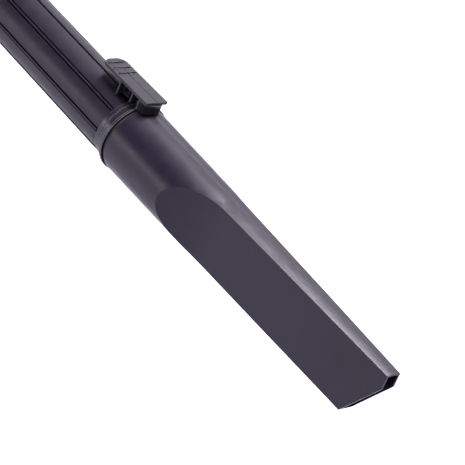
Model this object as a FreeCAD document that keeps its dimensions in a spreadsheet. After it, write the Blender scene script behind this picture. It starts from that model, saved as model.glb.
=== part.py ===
"""Cordless handheld vacuum with a ribbed suction wand and a push-on crevice nozzle.

Every size that drives the model is a cell of the sheet "Sizes" (millimetres).
Frame: +X runs along the wand to the nozzle's tip, +Z is up, the origin is the
centre of the base pad's underside.
"""
import FreeCAD, Part
import os
import re
import Sketcher
from FreeCAD import Placement, Rotation, Vector

SIZES = {
    # layout
    "axis_height": 62.0, "rim_x": 353.0,
    # suction wand, measured from the collar's rim plane
    "wand_radius": 16.0, "wand_wall": 1.8, "wand_rear": -186.0, "wand_front": 38.0,
    "rib_count": 8, "rib_width": 1.1, "rib_height": 0.5, "rib_rear": -138.0, "rib_front": -9.0,
    "channel_side": 0.65, "channel_depth": 0.6,
    "collar_rear": -8.6, "collar_radius": 16.6, "rim_radius": 18.66, "collar_groove": -5.6,
    "rim_step": -1.5,
    "ring_rear": -2.0, "ring_front": 1.5, "ring_radius": 17.6,
    # crevice nozzle
    "nozzle_rear": 1.8, "nozzle_radius": 18.05, "nozzle_slope": 0.0100, "nozzle_wall": 1.95,
    "wall_thinning": 0.005, "flat_thinning": 0.0085,
    "socket_radius": 16.35, "socket_depth": 40.0, "flat_half": 7.15, "flat_start": 79.0,
    "flat_slope": 0.028, "runout_radius": 65.0, "mouth_low_x": 175.75, "mouth_low_z": -16.0,
    "mouth_knee_x": 189.9, "mouth_knee_z": 8.4, "mouth_top_x": 189.5, "nozzle_stock": 196.0,
    # thumb pedal
    "pedal_rear": -32.6, "pedal_front": 5.33, "pedal_corner": 4.6, "pedal_width": 12.84,
    "pedal_plate": 1.5,
    "pedal_top_rear": 24.05, "pedal_top_front": 24.81, "pivot_x": -12.6, "pivot_z": 19.5,
    "pin_radius": 1.2, "ear_thickness": 1.0, "ear_low": 16.9, "ear_reach": 2.8,
    "ear_middle": 3.2, "web_thickness": 0.9, "web_rear": -15.6, "web_middle": -5.6,
    "web_front": 0.0, "web_low": 14.4, "web_gap": 0.75, "rim_gap": 0.4, "nose_x": 0.4,
    "nose_radius": 6.2, "nose_low": 16.5, "nose_top": 23.4, "bar_length": 9.8, "bar_first": 3.6,
    "bar_pitch": 4.55, "bar_foot": 0.7, "bar_crest": 0.3, "bar_rise": 0.55, "line_width": 0.5,
    "line_depth": 0.3, "bracket_width": 4.8, "bracket_slot": 3.2, "bracket_rear": 1.35,
    "bracket_front": 3.7, "bracket_top": 1.7, "spring_room": 3.1, "spring_floor": 2.65,
    "wire_radius": 0.25, "wire_ring": 1.75, "wire_pitch": 0.7, "wire_turns": 3.5,
    "pin_play": 0.08, "pin_spare": 0.4, "root": 0.6,
    # wand's rear end
    "groove_rear": 9.0, "groove_width": 2.4, "groove_depth": 0.9, "seal_play": 0.2,
    "seal_stand": 0.4, "ferrule_rear": 0.5, "ferrule_flange": 6.0, "ferrule_front": 11.0,
    "ferrule_rise": 4.0, "ferrule_lip": 1.4,
    # dust cup
    "cup_rear": 50.0, "cup_radius": 50.8, "cup_wall": 2.4, "snout_front": 203.0,
    "snout_radius": 21.5, "snout_bore": 16.7, "duct_radius": 14.2, "duct_rear": 130.0,
    "barrel_front": 127.0, "bend_x": 139.0, "bend_drop": 2.6, "slope_x": 149.0,
    "slope_drop": 8.5, "cone_x": 157.0, "cone_drop": 17.5, "root_x": 162.0,
    "snout_rear": 167.0, "snout_floor": 165.0, "duct_front": 164.8, "duct_wall": 1.8,
    "hinge_ear": 2.0, "hinge_ear_y": 7.0, "hinge_back": 1.4, "hinge_rise": 1.9,
    "hinge_radius": 0.9, "hinge_length": 16.6, "flap_thickness": 1.5, "flap_gap": 0.4,
    "flap_tab": 11.0,
    "gasket_inner": 44.5, "gasket_length": 3.1, "gasket_gap": 0.3,
    # filter
    "media_rear": 54.3, "media_front": 91.7, "media_radius": 32.0, "pleat_count": 36,
    "screen_radius": 36.8, "screen_wall": 0.8, "cage_outer": 35.6, "cage_inner": 33.6,
    "cage_hole": 22.0, "cage_flange": 44.2, "cage_plate": 3.0, "window_half": 21.0,
    "pleat_depth": 7.0, "pleat_root": 1.6, "pleat_tip": 0.4, "seat_rear": 45.0,
    "seat_front": 46.6, "seat_hole": 26.0,
    # housing
    "shell_radius": 54.0, "shell_wall": 2.6, "shell_front": 58.0, "shell_rear": -132.0,
    "cap_rear": -150.0, "boss_x_rear": -115.0, "boss_x_front": -20.0, "boss_z": 43.0,
    "boss_radius": 4.2, "boss_length": 24.0, "pilot_radius": 1.7, "pilot_length": 22.0,
    "head_radius": 3.0, "head_height": 2.2, "head_hole": 3.4, "screw_radius": 1.5,
    "screw_length": 38.0, "button_rear": 35.0, "button_front": 44.4, "button_half": 7.6,
    "button_height": 8.5, "button_gap": 0.6, "shelf_x": 34.0, "shelf_top": 38.6,
    "shelf_low": 36.0, "shelf_width": 14.0, "coil_ring": 3.0, "coil_wire": 0.4,
    "coil_pitch": 1.65, "coil_turns": 5.0,
    "lug_height": 7.2, "lug_outer": 51.9, "lug_step": 46.0, "lug_inner": 36.5,
    "lug_front": 10.0, "lug_rear": 15.0, "lug_pilot": 1.9, "cap_screw_y": 40.0,
    "cap_head_radius": 3.4, "cap_head_height": 1.6, "cap_screw_radius": 1.8,
    "cap_screw_length": 10.0, "cap_wall": 2.6, "cap_chamfer": 5.0,
    "vent_count": 20, "vent_inner": 18.0, "vent_outer": 30.0, "vent_low_half": 1.6,
    "vent_top_half": 1.9,
    "foot_height": 15.0, "foot_rear": -115.0, "foot_front": 52.0, "foot_half": 29.0,
    "foot_corner": 12.0,
    # motor and fan
    "can_radius": 30.0, "can_rear": -58.0, "can_front": 4.0, "shaft_radius": 2.5,
    "can_end": 6.0, "core_inset": 12.0, "bearing_play": 0.06, "shaft_rear": 3.0,
    "shaft_front": 28.0, "mount_thickness": 4.0, "mount_slot_low": 39.0,
    "mount_slot_top": 47.0, "mount_slots": 6,
    "fan_radius": 42.0, "fan_blades": 10, "fan_rear": 12.5, "fan_plate": 1.5, "hub_low": 12.0,
    "hub_top": 7.0, "hub_front": 27.0, "blade_height": 9.5, "shroud_rear": 10.0,
    "shroud_front": 34.0, "shroud_radius": 48.0, "shroud_wall": 2.0, "shroud_eye": 20.0,
    "board_z": 34.0, "board_thickness": 1.6, "board_rear": -46.0, "board_front": -4.0,
    "board_half": 16.0,
    # battery
    "cell_radius": 9.1, "cell_length": 65.0, "cell_ring": 26.0, "cell_count": 5,
    "cradle_rear": -100.0, "cradle_front": -92.0, "foam_inner": 10.0, "foam_outer": 34.0,
    "foam_front": 10.0, "port_z": 40.0, "jack_radius": 4.5, "jack_length": 12.0,
    "jack_bore": 2.75, "jack_depth": 9.0, "lamp_radius": 2.5, "lamp_length": 5.0,
    "lamp_proud": 0.4,
    # handle
    "handle_width": 26.0, "handle_rear": -104.0, "handle_front": 33.0, "handle_top": 106.0,
    "handle_bar": 22.0, "handle_round": 5.0, "gap_floor": 7.0, "grip_rear": -82.0,
    "grip_front": -10.0, "grip_half": 8.0, "grip_depth": 1.6, "grip_height": 2.8,
    "switch_rear": -2.0, "switch_front": 21.0, "switch_half": 6.5, "switch_height": 3.0,
    "stem_rear": 2.0, "stem_front": 12.0, "stem_half": 3.0, "rail": 1.4, "rail_half": 5.0,
    "rail_pitch": 4.0, "rail_rise": 0.9, "well_rear": 1.0, "well_front": 20.0,
    "well_half": 4.5, "well_depth": 17.0, "module_height": 12.0, "module_play": 0.5,
}

doc = FreeCAD.newDocument("handheld_vacuum")
sheet = doc.addObject("Spreadsheet::Sheet", "Sizes")
for row, (alias, value) in enumerate(SIZES.items(), start=1):
    sheet.set("A%d" % row, alias)
    sheet.set("B%d" % row, str(value))
    sheet.setAlias("B%d" % row, alias)
doc.recompute()
nodes = []


# ---------------------------------------------------------------- helpers
def bound(text):
    """Return an expression in which every size's name points at its cell."""
    return re.sub(r"[a-z_]+", lambda word: "Sizes." + word.group(0)
                  if word.group(0) in SIZES else word.group(0), str(text))


def number(text):
    """Return the present value of an expression."""
    return float(sheet.evalExpression(bound(text)))


def drive(thing, prop, text):
    """Set a property now and bind it to its expression."""
    if "." not in prop:
        setattr(thing, prop, number(text))
    thing.setExpression(prop, bound(text))


def origin(body, role):
    """Return a body's own origin plane or axis."""
    return next(f for f in body.Origin.OriginFeatures if f.Role == role)


def new_body(label, at="axis"):
    """Return a body placed on the housing's axis, at the wand's rim or on the ground."""
    body = doc.addObject("PartDesign::Body", label)
    body.Label = label
    if at != "ground":
        drive(body, "Placement.Base.z", "axis_height")
    if at == "rim":
        drive(body, "Placement.Base.x", "rim_x")
    nodes.append(body)
    return body


def sketch_of(body, plane, outlines=(), circles=(), offset=None):
    """Return a sketch on one of the body's planes, every corner driven by the sheet."""
    sketch = body.newObject("Sketcher::SketchObject", body.Name + "_sketch")
    sketch.AttachmentSupport = [(origin(body, plane), "")]
    sketch.MapMode = "FlatFace"
    if offset is not None:
        drive(sketch, "AttachmentOffset.Base.z", offset)
    for outline in outlines:
        add_outline(sketch, outline)
    for x, y, radius in circles:
        add_circle(sketch, x, y, radius)
    return sketch


def pin_point(sketch, geometry, point, x, y):
    """Fix a sketch point's two coordinates to expressions."""
    for kind, text in (("DistanceX", x), ("DistanceY", y)):
        index = sketch.addConstraint(Sketcher.Constraint(kind, geometry, point, number(text)))
        if re.search("[a-z]", str(text)):
            sketch.setExpression("Constraints[%d]" % index, bound(text))


def add_outline(sketch, corners):
    """Add a closed outline of straight lines through the corners."""
    values = [Vector(number(x), number(y), 0) for x, y in corners]
    first = sketch.GeometryCount
    for here, there in zip(values, values[1:] + values[:1]):
        sketch.addGeometry(Part.LineSegment(here, there), False)
    for index, (x, y) in enumerate(corners):
        previous = first + (index - 1) % len(corners)
        sketch.addConstraint(Sketcher.Constraint("Coincident", previous, 2, first + index, 1))
        pin_point(sketch, first + index, 1, x, y)


def add_circle(sketch, x, y, radius):
    """Add a circle with its centre and radius driven by the sheet."""
    centre = Vector(number(x), number(y), 0)
    index = sketch.addGeometry(Part.Circle(centre, Vector(0, 0, 1), number(radius)), False)
    pin_point(sketch, index, 3, x, y)
    size = sketch.addConstraint(Sketcher.Constraint("Radius", index, number(radius)))
    if re.search("[a-z]", str(radius)):
        sketch.setExpression("Constraints[%d]" % size, bound(radius))


def turn(body, outline, angle=360, cut=False, reverse=False):
    """Revolve an outline of (x, radius) about the body's X axis."""
    kind = "PartDesign::Groove" if cut else "PartDesign::Revolution"
    feature = body.newObject(kind, body.Name + "_turn")
    feature.Profile = sketch_of(body, "XZ_Plane", [outline])
    feature.ReferenceAxis = (origin(body, "X_Axis"), [""])
    feature.Angle = angle
    feature.Reversed = reverse
    doc.recompute()
    return feature


def box_of(rear, front, half):
    """Return a rectangle between two places along X, equally wide to both sides."""
    return [(rear, "-(%s)" % half), (front, "-(%s)" % half), (front, half), (rear, half)]


def pad(body, plane, length, outlines=(), circles=(), offset=None, cut=False, middle=True,
        reverse=False):
    """Extrude (or cut) outlines; by default half the length goes to each side."""
    kind = "PartDesign::Pocket" if cut else "PartDesign::Pad"
    feature = body.newObject(kind, body.Name + ("_cut" if cut else "_pad"))
    feature.Profile = sketch_of(body, plane, outlines, circles, offset)
    drive(feature, "Length", length)
    feature.Midplane = middle
    feature.Reversed = reverse
    doc.recompute()
    return feature


def around(body, feature, count):
    """Repeat a feature around the body's X axis."""
    pattern = body.newObject("PartDesign::PolarPattern", body.Name + "_pattern")
    pattern.Originals = [feature]
    pattern.Axis = (origin(body, "X_Axis"), [""])
    pattern.Angle = 360
    pattern.Occurrences = int(number(count))
    pattern.setExpression("Occurrences", bound(count))
    body.Tip = pattern
    doc.recompute()
    return pattern


def soften(body, radius, chosen):
    """Fillet the edges that the test picks."""
    doc.recompute()
    base = body.Tip
    names = ["Edge%d" % (i + 1) for i, edge in enumerate(base.Shape.Edges) if chosen(edge)]
    feature = body.newObject("PartDesign::Fillet", body.Name + "_fillet")
    feature.Base = (base, names)
    feature.Radius = radius
    doc.recompute()
    return feature


def group(label, pieces):
    """Gather equal loose pieces in one node."""
    compound = doc.addObject("Part::Compound", label)
    compound.Label = label
    compound.Links = pieces
    nodes.append(compound)
    return compound


def screw(name, place, head_radius, head, shank_radius, shank):
    """Return one round-headed screw; its shank runs along the local +Z axis."""
    top = doc.addObject("Part::Cylinder", name + "_head")
    drive(top, "Radius", head_radius)
    drive(top, "Height", head)
    drive(top, "Placement.Base.z", "-" + head)
    stem = doc.addObject("Part::Cylinder", name + "_shank")
    drive(stem, "Radius", shank_radius)
    drive(stem, "Height", shank)
    whole = doc.addObject("Part::Fuse", name)
    whole.Base = top
    whole.Tool = stem
    whole.Placement = place
    return whole


def along_y(edge):
    """Pick straight edges that run along Y."""
    return straight(edge) and abs(edge.tangentAt(edge.FirstParameter).y) > 0.99


def along_z(edge):
    """Pick straight edges that run along Z."""
    return straight(edge) and abs(edge.tangentAt(edge.FirstParameter).z) > 0.99


def straight(edge):
    """Tell whether an edge is a straight line."""
    return edge.Curve.TypeId == "Part::GeomLine"


# ---------------------------------------------------------------- wand end
def nozzle_solid(label, rear, stock, inset="0", round_slope="nozzle_slope",
                 flat_slope="flat_slope"):
    """Return the nozzle's outside, or with an inset the room inside it."""
    body = new_body(label, "rim")
    radius = "nozzle_radius - %s" % inset
    turn(body, [(rear, 0), (rear, radius),
                (stock, "%s - (%s) * (%s)" % (radius, round_slope, stock)), (stock, 0)])
    blank = body.Tip.Shape.Volume
    for side in (1, -1):
        carve_flat(body, inset, flat_slope, side)
    assert body.Tip.Shape.Volume < blank
    return body


def carve_flat(body, inset, slope, side):
    """Cut one of the nozzle's two flats with its curved run-out."""
    start_y = "(flat_half - %s)" % inset
    reach = "runout_radius * 0.6"
    sketch = sketch_of(body, "XY_Plane")
    x0, y0 = number("flat_start"), number(start_y)
    big = number("runout_radius")
    centre = Vector(x0, side * (y0 + big), 0)
    far = Vector(x0 - number(reach), side * (y0 + big - (big ** 2 - number(reach) ** 2) ** 0.5), 0)
    near = Vector(x0, side * y0, 0)
    end_x = number("nozzle_stock + 4")
    end_y = y0 - number(slope) * (end_x - x0)
    middle = Vector(x0 - number(reach) * 0.5, 0, 0)
    middle.y = side * (y0 + big - (big ** 2 - (number(reach) * 0.5) ** 2) ** 0.5)
    outside = side * number("nozzle_radius + 12")
    sketch.addGeometry(Part.Arc(far, middle, near), False)
    corners = [near, Vector(end_x, side * end_y, 0), Vector(end_x, outside, 0),
               Vector(far.x, outside, 0), far]
    for here, there in zip(corners, corners[1:]):
        sketch.addGeometry(Part.LineSegment(here, there), False)
    sign = "" if side > 0 else "-"
    arc_start, arc_end = (1, 2) if abs(sketch.getPoint(0, 1).x - far.x) < 0.01 else (2, 1)
    sketch.addConstraint(Sketcher.Constraint("Coincident", 0, arc_end, 1, 1))
    for index in (1, 2, 3):
        sketch.addConstraint(Sketcher.Constraint("Coincident", index, 2, index + 1, 1))
    sketch.addConstraint(Sketcher.Constraint("Coincident", 4, 2, 0, arc_start))
    pin_point(sketch, 0, 3, "flat_start", "%s(%s + runout_radius)" % (sign, start_y))
    pin_point(sketch, 1, 1, "flat_start", "%s%s" % (sign, start_y))
    pin_point(sketch, 2, 1, "nozzle_stock + 4",
              "%s(%s - (%s) * (nozzle_stock + 4 - flat_start))" % (sign, start_y, slope))
    pin_point(sketch, 3, 1, "nozzle_stock + 4", "%s(nozzle_radius + 12)" % sign)
    pin_point(sketch, 4, 1, "flat_start - %s" % reach, "%s(nozzle_radius + 12)" % sign)
    sketch.addConstraint(Sketcher.Constraint("Vertical", 4))
    cut = body.newObject("PartDesign::Pocket", body.Name + "_flat")
    cut.Profile = sketch
    cut.Midplane = True
    drive(cut, "Length", "nozzle_radius * 4")
    doc.recompute()


def crevice_nozzle():
    """Build the hollow nozzle: round socket, flattened length and slanted mouth."""
    outside = nozzle_solid("nozzle_outside", "nozzle_rear", "nozzle_stock")
    pad(outside, "XZ_Plane", "nozzle_radius * 4", cut=True, outlines=[[
        ("mouth_low_x - 4", "mouth_low_z - 4 / 1.86"), ("mouth_low_x", "mouth_low_z"),
        ("mouth_knee_x", "mouth_knee_z"), ("mouth_top_x", "nozzle_radius + 2"),
        ("nozzle_stock + 9", "nozzle_radius + 2"), ("nozzle_stock + 9", "-nozzle_radius - 4"),
        ("mouth_low_x - 4", "-nozzle_radius - 4")]])
    inside = nozzle_solid("nozzle_inside", "socket_depth - 1", "nozzle_stock + 2", "nozzle_wall",
                          "nozzle_slope - wall_thinning", "flat_slope - flat_thinning")
    turn(inside, [("nozzle_rear - 2", 0), ("nozzle_rear - 2", "socket_radius"),
                  ("socket_depth", "socket_radius"), ("socket_depth", 0)])
    nodes.remove(outside)
    nodes.remove(inside)
    nozzle = doc.addObject("Part::Cut", "crevice_nozzle")
    nozzle.Base = outside
    nozzle.Tool = inside
    nozzle.Label = "crevice_nozzle"
    nodes.append(nozzle)


def wand_tube():
    """Build the suction tube with its eight raised ribs and a groove for the seal."""
    body = new_body("wand_tube", "rim")
    bore = "wand_radius - wand_wall"
    turn(body, [("wand_rear", bore), ("wand_rear", "wand_radius"), ("wand_front", "wand_radius"),
                ("wand_front", bore)])
    rear, front = "wand_rear + groove_rear", "wand_rear + groove_rear + groove_width"
    floor, clear = "wand_radius - groove_depth", "wand_radius + groove_depth"
    turn(body, [(rear, floor), (rear, clear), (front, clear), (front, floor)], cut=True)
    half = "rib_width / 2 + channel_side"
    channel = pad(body, "YZ_Plane", "rib_front - rib_rear", offset="rib_rear", middle=False,
                  cut=True, reverse=True,
                  outlines=[[
                      ("-(%s)" % half, "wand_radius - channel_depth"),
                      (half, "wand_radius - channel_depth"), (half, "wand_radius + 1"),
                      ("-(%s)" % half, "wand_radius + 1")]])
    around(body, channel, "rib_count")
    rib = pad(body, "YZ_Plane", "rib_front - rib_rear", offset="rib_rear", middle=False,
              outlines=[[("-rib_width / 2", "wand_radius - root"),
                         ("rib_width / 2", "wand_radius - root"),
                         ("rib_width / 2 - 0.25", "wand_radius + rib_height"),
                         ("-rib_width / 2 + 0.25", "wand_radius + rib_height")]])
    around(body, rib, "rib_count")


def end_collar():
    """Build the collar at the wand's front with its groove and flared rim."""
    body = new_body("end_collar", "rim")
    turn(body, [("collar_rear", "wand_radius"), ("collar_rear", "collar_radius - 0.25"),
                ("collar_rear + 0.4", "collar_radius"), ("collar_groove - 0.35", "collar_radius"),
                ("collar_groove - 0.35", "collar_radius - 0.5"),
                ("collar_groove + 0.35", "collar_radius - 0.5"),
                ("collar_groove + 0.35", "collar_radius + 0.4"),
                ("rim_step - 1", "collar_radius + 0.6"), ("rim_step", "rim_radius - 0.7"),
                ("rim_step + 0.3", "rim_radius"), ("-0.15", "rim_radius"),
                ("0", "rim_radius - 0.15"), ("0", "rim_radius - 0.5"),
                ("ring_rear - 0.2", "ring_radius - 0.7"), ("ring_rear - 0.2", "wand_radius")])


def seal_ring():
    """Build the rubber ring that the nozzle's end presses on."""
    body = new_body("seal_ring", "rim")
    turn(body, [("ring_rear", "wand_radius"), ("ring_rear", "ring_radius - 0.9"),
                ("ring_front - 1.2", "ring_radius - 0.1"), ("ring_front - 0.5", "ring_radius"),
                ("ring_front", "ring_radius - 0.5"),
                ("ring_front", "wand_radius")])


def pedal_bracket():
    """Build the forked block that straddles the top rib and carries the pedal's pin."""
    body = new_body("pedal_bracket", "rim")
    foot, top = "wand_radius - root", "pivot_z + bracket_top"
    rear, front = "web_rear + bracket_rear", "pivot_x + bracket_front"
    pad(body, "XZ_Plane", "bracket_width", outlines=[[
        (rear, foot), (front, foot), (front, "pivot_z - bracket_top"),
        ("pivot_x + bracket_top", top), (rear, top)]])
    pad(body, "XZ_Plane", "bracket_slot", cut=True, outlines=[[
        ("pivot_x - spring_room", "pivot_z - spring_floor"),
        ("pivot_x + spring_room", "pivot_z - spring_floor"),
        ("pivot_x + spring_room", "pivot_z + spring_room"),
        ("pivot_x - spring_room", "pivot_z + spring_room")]])
    pad(body, "XZ_Plane", "bracket_width * 3", cut=True,
        circles=[("pivot_x", "pivot_z", "pin_radius")])
    straddle(body, "wand_radius", "rib_width / 2 + 0.05", "wand_radius + rib_height + 0.05")


def straddle(body, radius, notch_half, notch_top):
    """Hollow a piece's underside to the wand's curve, with a notch for the top rib."""
    long = "2 * abs(pedal_rear)"
    pad(body, "YZ_Plane", long, cut=True, circles=[(0, 0, radius)])
    pad(body, "YZ_Plane", long, cut=True, outlines=[[
        ("-(%s)" % notch_half, 0), (notch_half, 0), (notch_half, notch_top),
        ("-(%s)" % notch_half, notch_top)]])


def thumb_pedal():
    """Build the latch pedal: plate, nose, ears round the pin, webs and grip bars."""
    body = new_body("thumb_pedal", "rim")
    pad(body, "XZ_Plane", "pedal_width", outlines=[[
        ("pedal_rear", "pedal_top_rear - pedal_plate"), ("pedal_rear", "pedal_top_rear"),
        ("pedal_front", "pedal_top_front"), ("pedal_front", "pedal_top_front - pedal_plate")]])
    soften(body, number("pedal_corner"), lambda edge: along_z(edge)
           and edge.CenterOfMass.x < number("pedal_rear + 1") and edge.Length < 2)
    pad(body, "XY_Plane", "nose_top - nose_low", offset="nose_low", middle=False,
        circles=[("nose_x", 0, "nose_radius")])
    under = "pedal_top_rear - pedal_plate + root"
    pad(body, "XZ_Plane", "pedal_width + 2", cut=True, outlines=[[
        ("nose_x - nose_radius - 1", "nose_low - 1"), ("web_front", "nose_low - 1"),
        ("web_front", under), ("nose_x - nose_radius - 1", under)]])
    ears_and_webs(body, "pedal_top_rear - pedal_plate / 2")
    straddle(body, "wand_radius + web_gap", "rib_width / 2 + 0.75", "wand_radius + rib_height + 1")
    turn(body, [("collar_rear - 0.7", 0), ("collar_rear - 0.7", "rim_radius + rim_gap"),
                ("nozzle_rear - 0.9", "rim_radius + rim_gap"),
                ("nozzle_rear - 0.9", "nozzle_radius + rim_gap"),
                ("nozzle_rear + 10", "nozzle_radius + rim_gap"), ("nozzle_rear + 10", 0)],
         cut=True)
    pad(body, "XZ_Plane", "pedal_width * 2", cut=True,
        circles=[("pivot_x", "pivot_z", "pin_radius + pin_play")])
    grip_bars(body)


def ears_and_webs(body, top):
    """Add the two pierced ears and the three cross webs under the pedal's plate."""
    for side in ("", "-"):
        pad(body, "XZ_Plane", "ear_thickness", offset=side + "ear_middle", outlines=[[
            ("pivot_x - ear_reach", top), ("pivot_x - ear_reach", "ear_low"),
            ("pivot_x + ear_reach", "ear_low"), ("pivot_x + ear_reach", top)]])
    for web in ("web_rear", "web_middle", "web_front"):
        pad(body, "XZ_Plane", "pedal_width", outlines=[[
            (web + " - web_thickness / 2", "web_low"), (web + " + web_thickness / 2", "web_low"),
            (web + " + web_thickness / 2", top), (web + " - web_thickness / 2", top)]])


def grip_bars(body):
    """Add the three raised bars and the shallow centre line to the pedal's top."""
    climb = "(pedal_top_front - pedal_top_rear) / (pedal_front - pedal_rear)"
    for index in range(3):
        back = "(bar_first + %d * bar_pitch)" % index
        top = "pedal_top_rear + %s * %s" % (back, climb)
        pad(body, "XZ_Plane", "bar_length", outlines=[[
            ("pedal_rear + %s - bar_foot" % back, top + " - bar_crest"),
            ("pedal_rear + %s - bar_crest" % back, top + " + bar_rise"),
            ("pedal_rear + %s + bar_crest" % back, top + " + bar_rise"),
            ("pedal_rear + %s + bar_foot" % back, top + " - bar_crest")]])
    line = "pedal_rear + bar_first + bar_pitch * 1.2"
    end, clear = "pedal_front + line_width", "pedal_top_front + bar_rise"
    pad(body, "XZ_Plane", "line_width", cut=True, outlines=[[
        (line, "pedal_top_rear"), (end, "pedal_top_front - line_depth"), (end, clear),
        (line, clear)]])


def pedal_pin():
    """Build the steel pin the pedal turns on."""
    body = new_body("pedal_pin", "rim")
    pad(body, "XZ_Plane", "2 * (ear_middle + pin_spare)",
        circles=[("pivot_x", "pivot_z", "pin_radius")])


def pedal_spring():
    """Build the torsion spring coiled round the pin."""
    body = new_body("pedal_spring", "rim")
    sketch = sketch_of(body, "XY_Plane", circles=[
        ("wire_ring", "-bracket_slot / 2 + pin_spare", "wire_radius")])
    drive(sketch, "AttachmentOffset.Base.x", "pivot_x")
    drive(sketch, "AttachmentOffset.Base.z", "pivot_z")
    helix = body.newObject("PartDesign::AdditiveHelix", body.Name + "_helix")
    helix.Profile = sketch
    helix.ReferenceAxis = (sketch, ["V_Axis"])
    helix.Mode = 1
    drive(helix, "Pitch", "wire_pitch")
    drive(helix, "Turns", "wire_turns")
    doc.recompute()


def wand_ferrule():
    """Build the stop ring at the wand's rear."""
    body = new_body("wand_ferrule", "rim")
    mouth = "snout_front - rim_x"
    rear, flange = mouth + " + ferrule_rear", mouth + " + ferrule_flange"
    lip, front = mouth + " + ferrule_front - 1", mouth + " + ferrule_front"
    turn(body, [(rear, "wand_radius"), (rear, "wand_radius + ferrule_rise"),
                (flange, "wand_radius + ferrule_rise"), (lip, "wand_radius + ferrule_lip"),
                (front, "wand_radius + ferrule_lip"), (front, "wand_radius")])


def wand_seal():
    """Build the rubber ring in the wand's rear groove."""
    body = new_body("wand_seal", "rim")
    rear = "wand_rear + groove_rear + seal_play"
    front = "wand_rear + groove_rear + groove_width - seal_play"
    floor, side = "wand_radius - groove_depth + seal_play / 4", "wand_radius + seal_stand / 4"
    crown = "wand_radius + seal_stand"
    turn(body, [(rear, floor), (rear, side), (rear + " + seal_stand", crown),
                (front + " - seal_stand", crown), (front, side), (front, floor)])


# ---------------------------------------------------------------- dust cup
def dust_cup():
    """Build the clear cup with its shoulder and the snout that takes the wand."""
    body = new_body("dust_cup")
    inner = "cup_radius - cup_wall"
    turn(body, [("cup_rear", inner), ("cup_rear", "cup_radius"),
                ("barrel_front", "cup_radius"), ("bend_x", "cup_radius - bend_drop"),
                ("slope_x", "cup_radius - slope_drop"), ("cone_x", "cup_radius - cone_drop"),
                ("root_x", "snout_radius + 3"), ("snout_rear", "snout_radius"),
                ("snout_front - 1", "snout_radius"), ("snout_front", "snout_radius - 1"),
                ("snout_front", "snout_bore"), ("snout_floor", "snout_bore"),
                ("snout_floor", "duct_radius"), ("cone_x - 1", "duct_radius"),
                ("cone_x - 4", "cup_radius - cone_drop - 2.5"),
                ("slope_x - 2", "cup_radius - slope_drop - 3"),
                ("bend_x - 1", "cup_radius - bend_drop - 2.6"), ("barrel_front - 1", inner)])


def hinge(radius):
    """Return a circle on the flap's hinge line."""
    return "duct_rear - hinge_back", "duct_radius + hinge_rise", radius


def inlet_duct():
    """Build the tube that leads the dirt into the cup, with two ears for the flap."""
    body = new_body("inlet_duct")
    wall = "duct_radius - duct_wall"
    turn(body, [("duct_rear", wall), ("duct_rear", "duct_radius"), ("duct_front", "duct_radius"),
                ("duct_front", wall)])
    for side in ("", "-"):
        pad(body, "XZ_Plane", "hinge_ear", offset=side + "hinge_ear_y", outlines=[[
            ("duct_rear - 3.6", "duct_radius + 0.6"), ("duct_rear - 3.6", "duct_radius + 3.6"),
            ("duct_rear + 5", "duct_radius + 3.6"), ("duct_rear + 9", "duct_radius - 1.2"),
            ("duct_rear", "duct_radius - 1.6")]])
    pad(body, "XZ_Plane", "hinge_length * 2", cut=True, circles=[hinge("hinge_radius")])


def inlet_flap():
    """Build the rubber flap that hangs closed over the duct's end."""
    body = new_body("inlet_flap")
    front, rear = "duct_rear - flap_gap", "duct_rear - flap_gap - flap_thickness"
    turn(body, [(rear, 0), (rear, "duct_radius - 0.2"), (front, "duct_radius - 0.2"), (front, 0)])
    pad(body, "XZ_Plane", "flap_tab", outlines=[[
        (rear + " - 0.3", "duct_radius - 3"), (front + " - 0.2", "duct_radius - 3"),
        (front, "duct_radius + 3"), (rear + " - 0.7", "duct_radius + 3")]])
    pad(body, "XZ_Plane", "hinge_length * 2", cut=True, circles=[hinge("hinge_radius + 0.05")])


def flap_pin():
    """Build the flap's hinge pin."""
    body = new_body("flap_pin")
    pad(body, "XZ_Plane", "hinge_length", circles=[hinge("hinge_radius")])


def cup_seal():
    """Build the gasket between the cup and the housing."""
    body = new_body("cup_seal")
    rear, front = "cup_rear - gasket_gap - gasket_length", "cup_rear - gasket_gap"
    outer = "cup_radius - gasket_gap"
    turn(body, [(rear, "gasket_inner"), (rear, outer), (front, outer), (front, "gasket_inner")])


# ---------------------------------------------------------------- filter
def filter_frame():
    """Build the filter's cage: flange, four bars and front plate."""
    body = new_body("filter_frame")
    rear, front = "media_rear - 0.3", "media_front + 0.3"
    plate = front + " + cage_plate"
    back = "cup_rear - gasket_gap - gasket_length"
    turn(body, [(back, "cage_hole"), (back, "cage_flange"), ("media_rear - 0.8", "cage_flange"),
                (rear, "screen_radius + 1.2"), (rear, "cage_outer"), (front, "cage_outer"),
                (front, "screen_radius + 0.7"), (plate, "screen_radius - 0.8"), (plate, 0),
                (front, 0), (front, "cage_inner"), (rear, "cage_inner"), (rear, "cage_hole")])
    low, high = rear + " + 2", front + " - 2"
    window = pad(body, "XY_Plane", "cage_flange + 6", middle=False, cut=True, reverse=True,
                 outlines=[[(low, "-window_half"), (high, "-window_half"), (high, "window_half"),
                            (low, "window_half")]])
    around(body, window, 4)


def pleated_filter():
    """Build the pleated paper ring."""
    body = new_body("pleated_filter")
    inner, sleeve = "media_radius - pleat_depth", "media_radius - pleat_depth + 1.2"
    turn(body, [("media_rear", inner), ("media_rear", sleeve), ("media_front", sleeve),
                ("media_front", inner)])
    pleat = pad(body, "YZ_Plane", "media_front - media_rear", offset="media_rear", middle=False,
                outlines=[[("-pleat_root", inner + " + root"), ("pleat_root", inner + " + root"),
                           ("pleat_tip", "media_radius"), ("-pleat_tip", "media_radius")]])
    around(body, pleat, "pleat_count")


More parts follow.
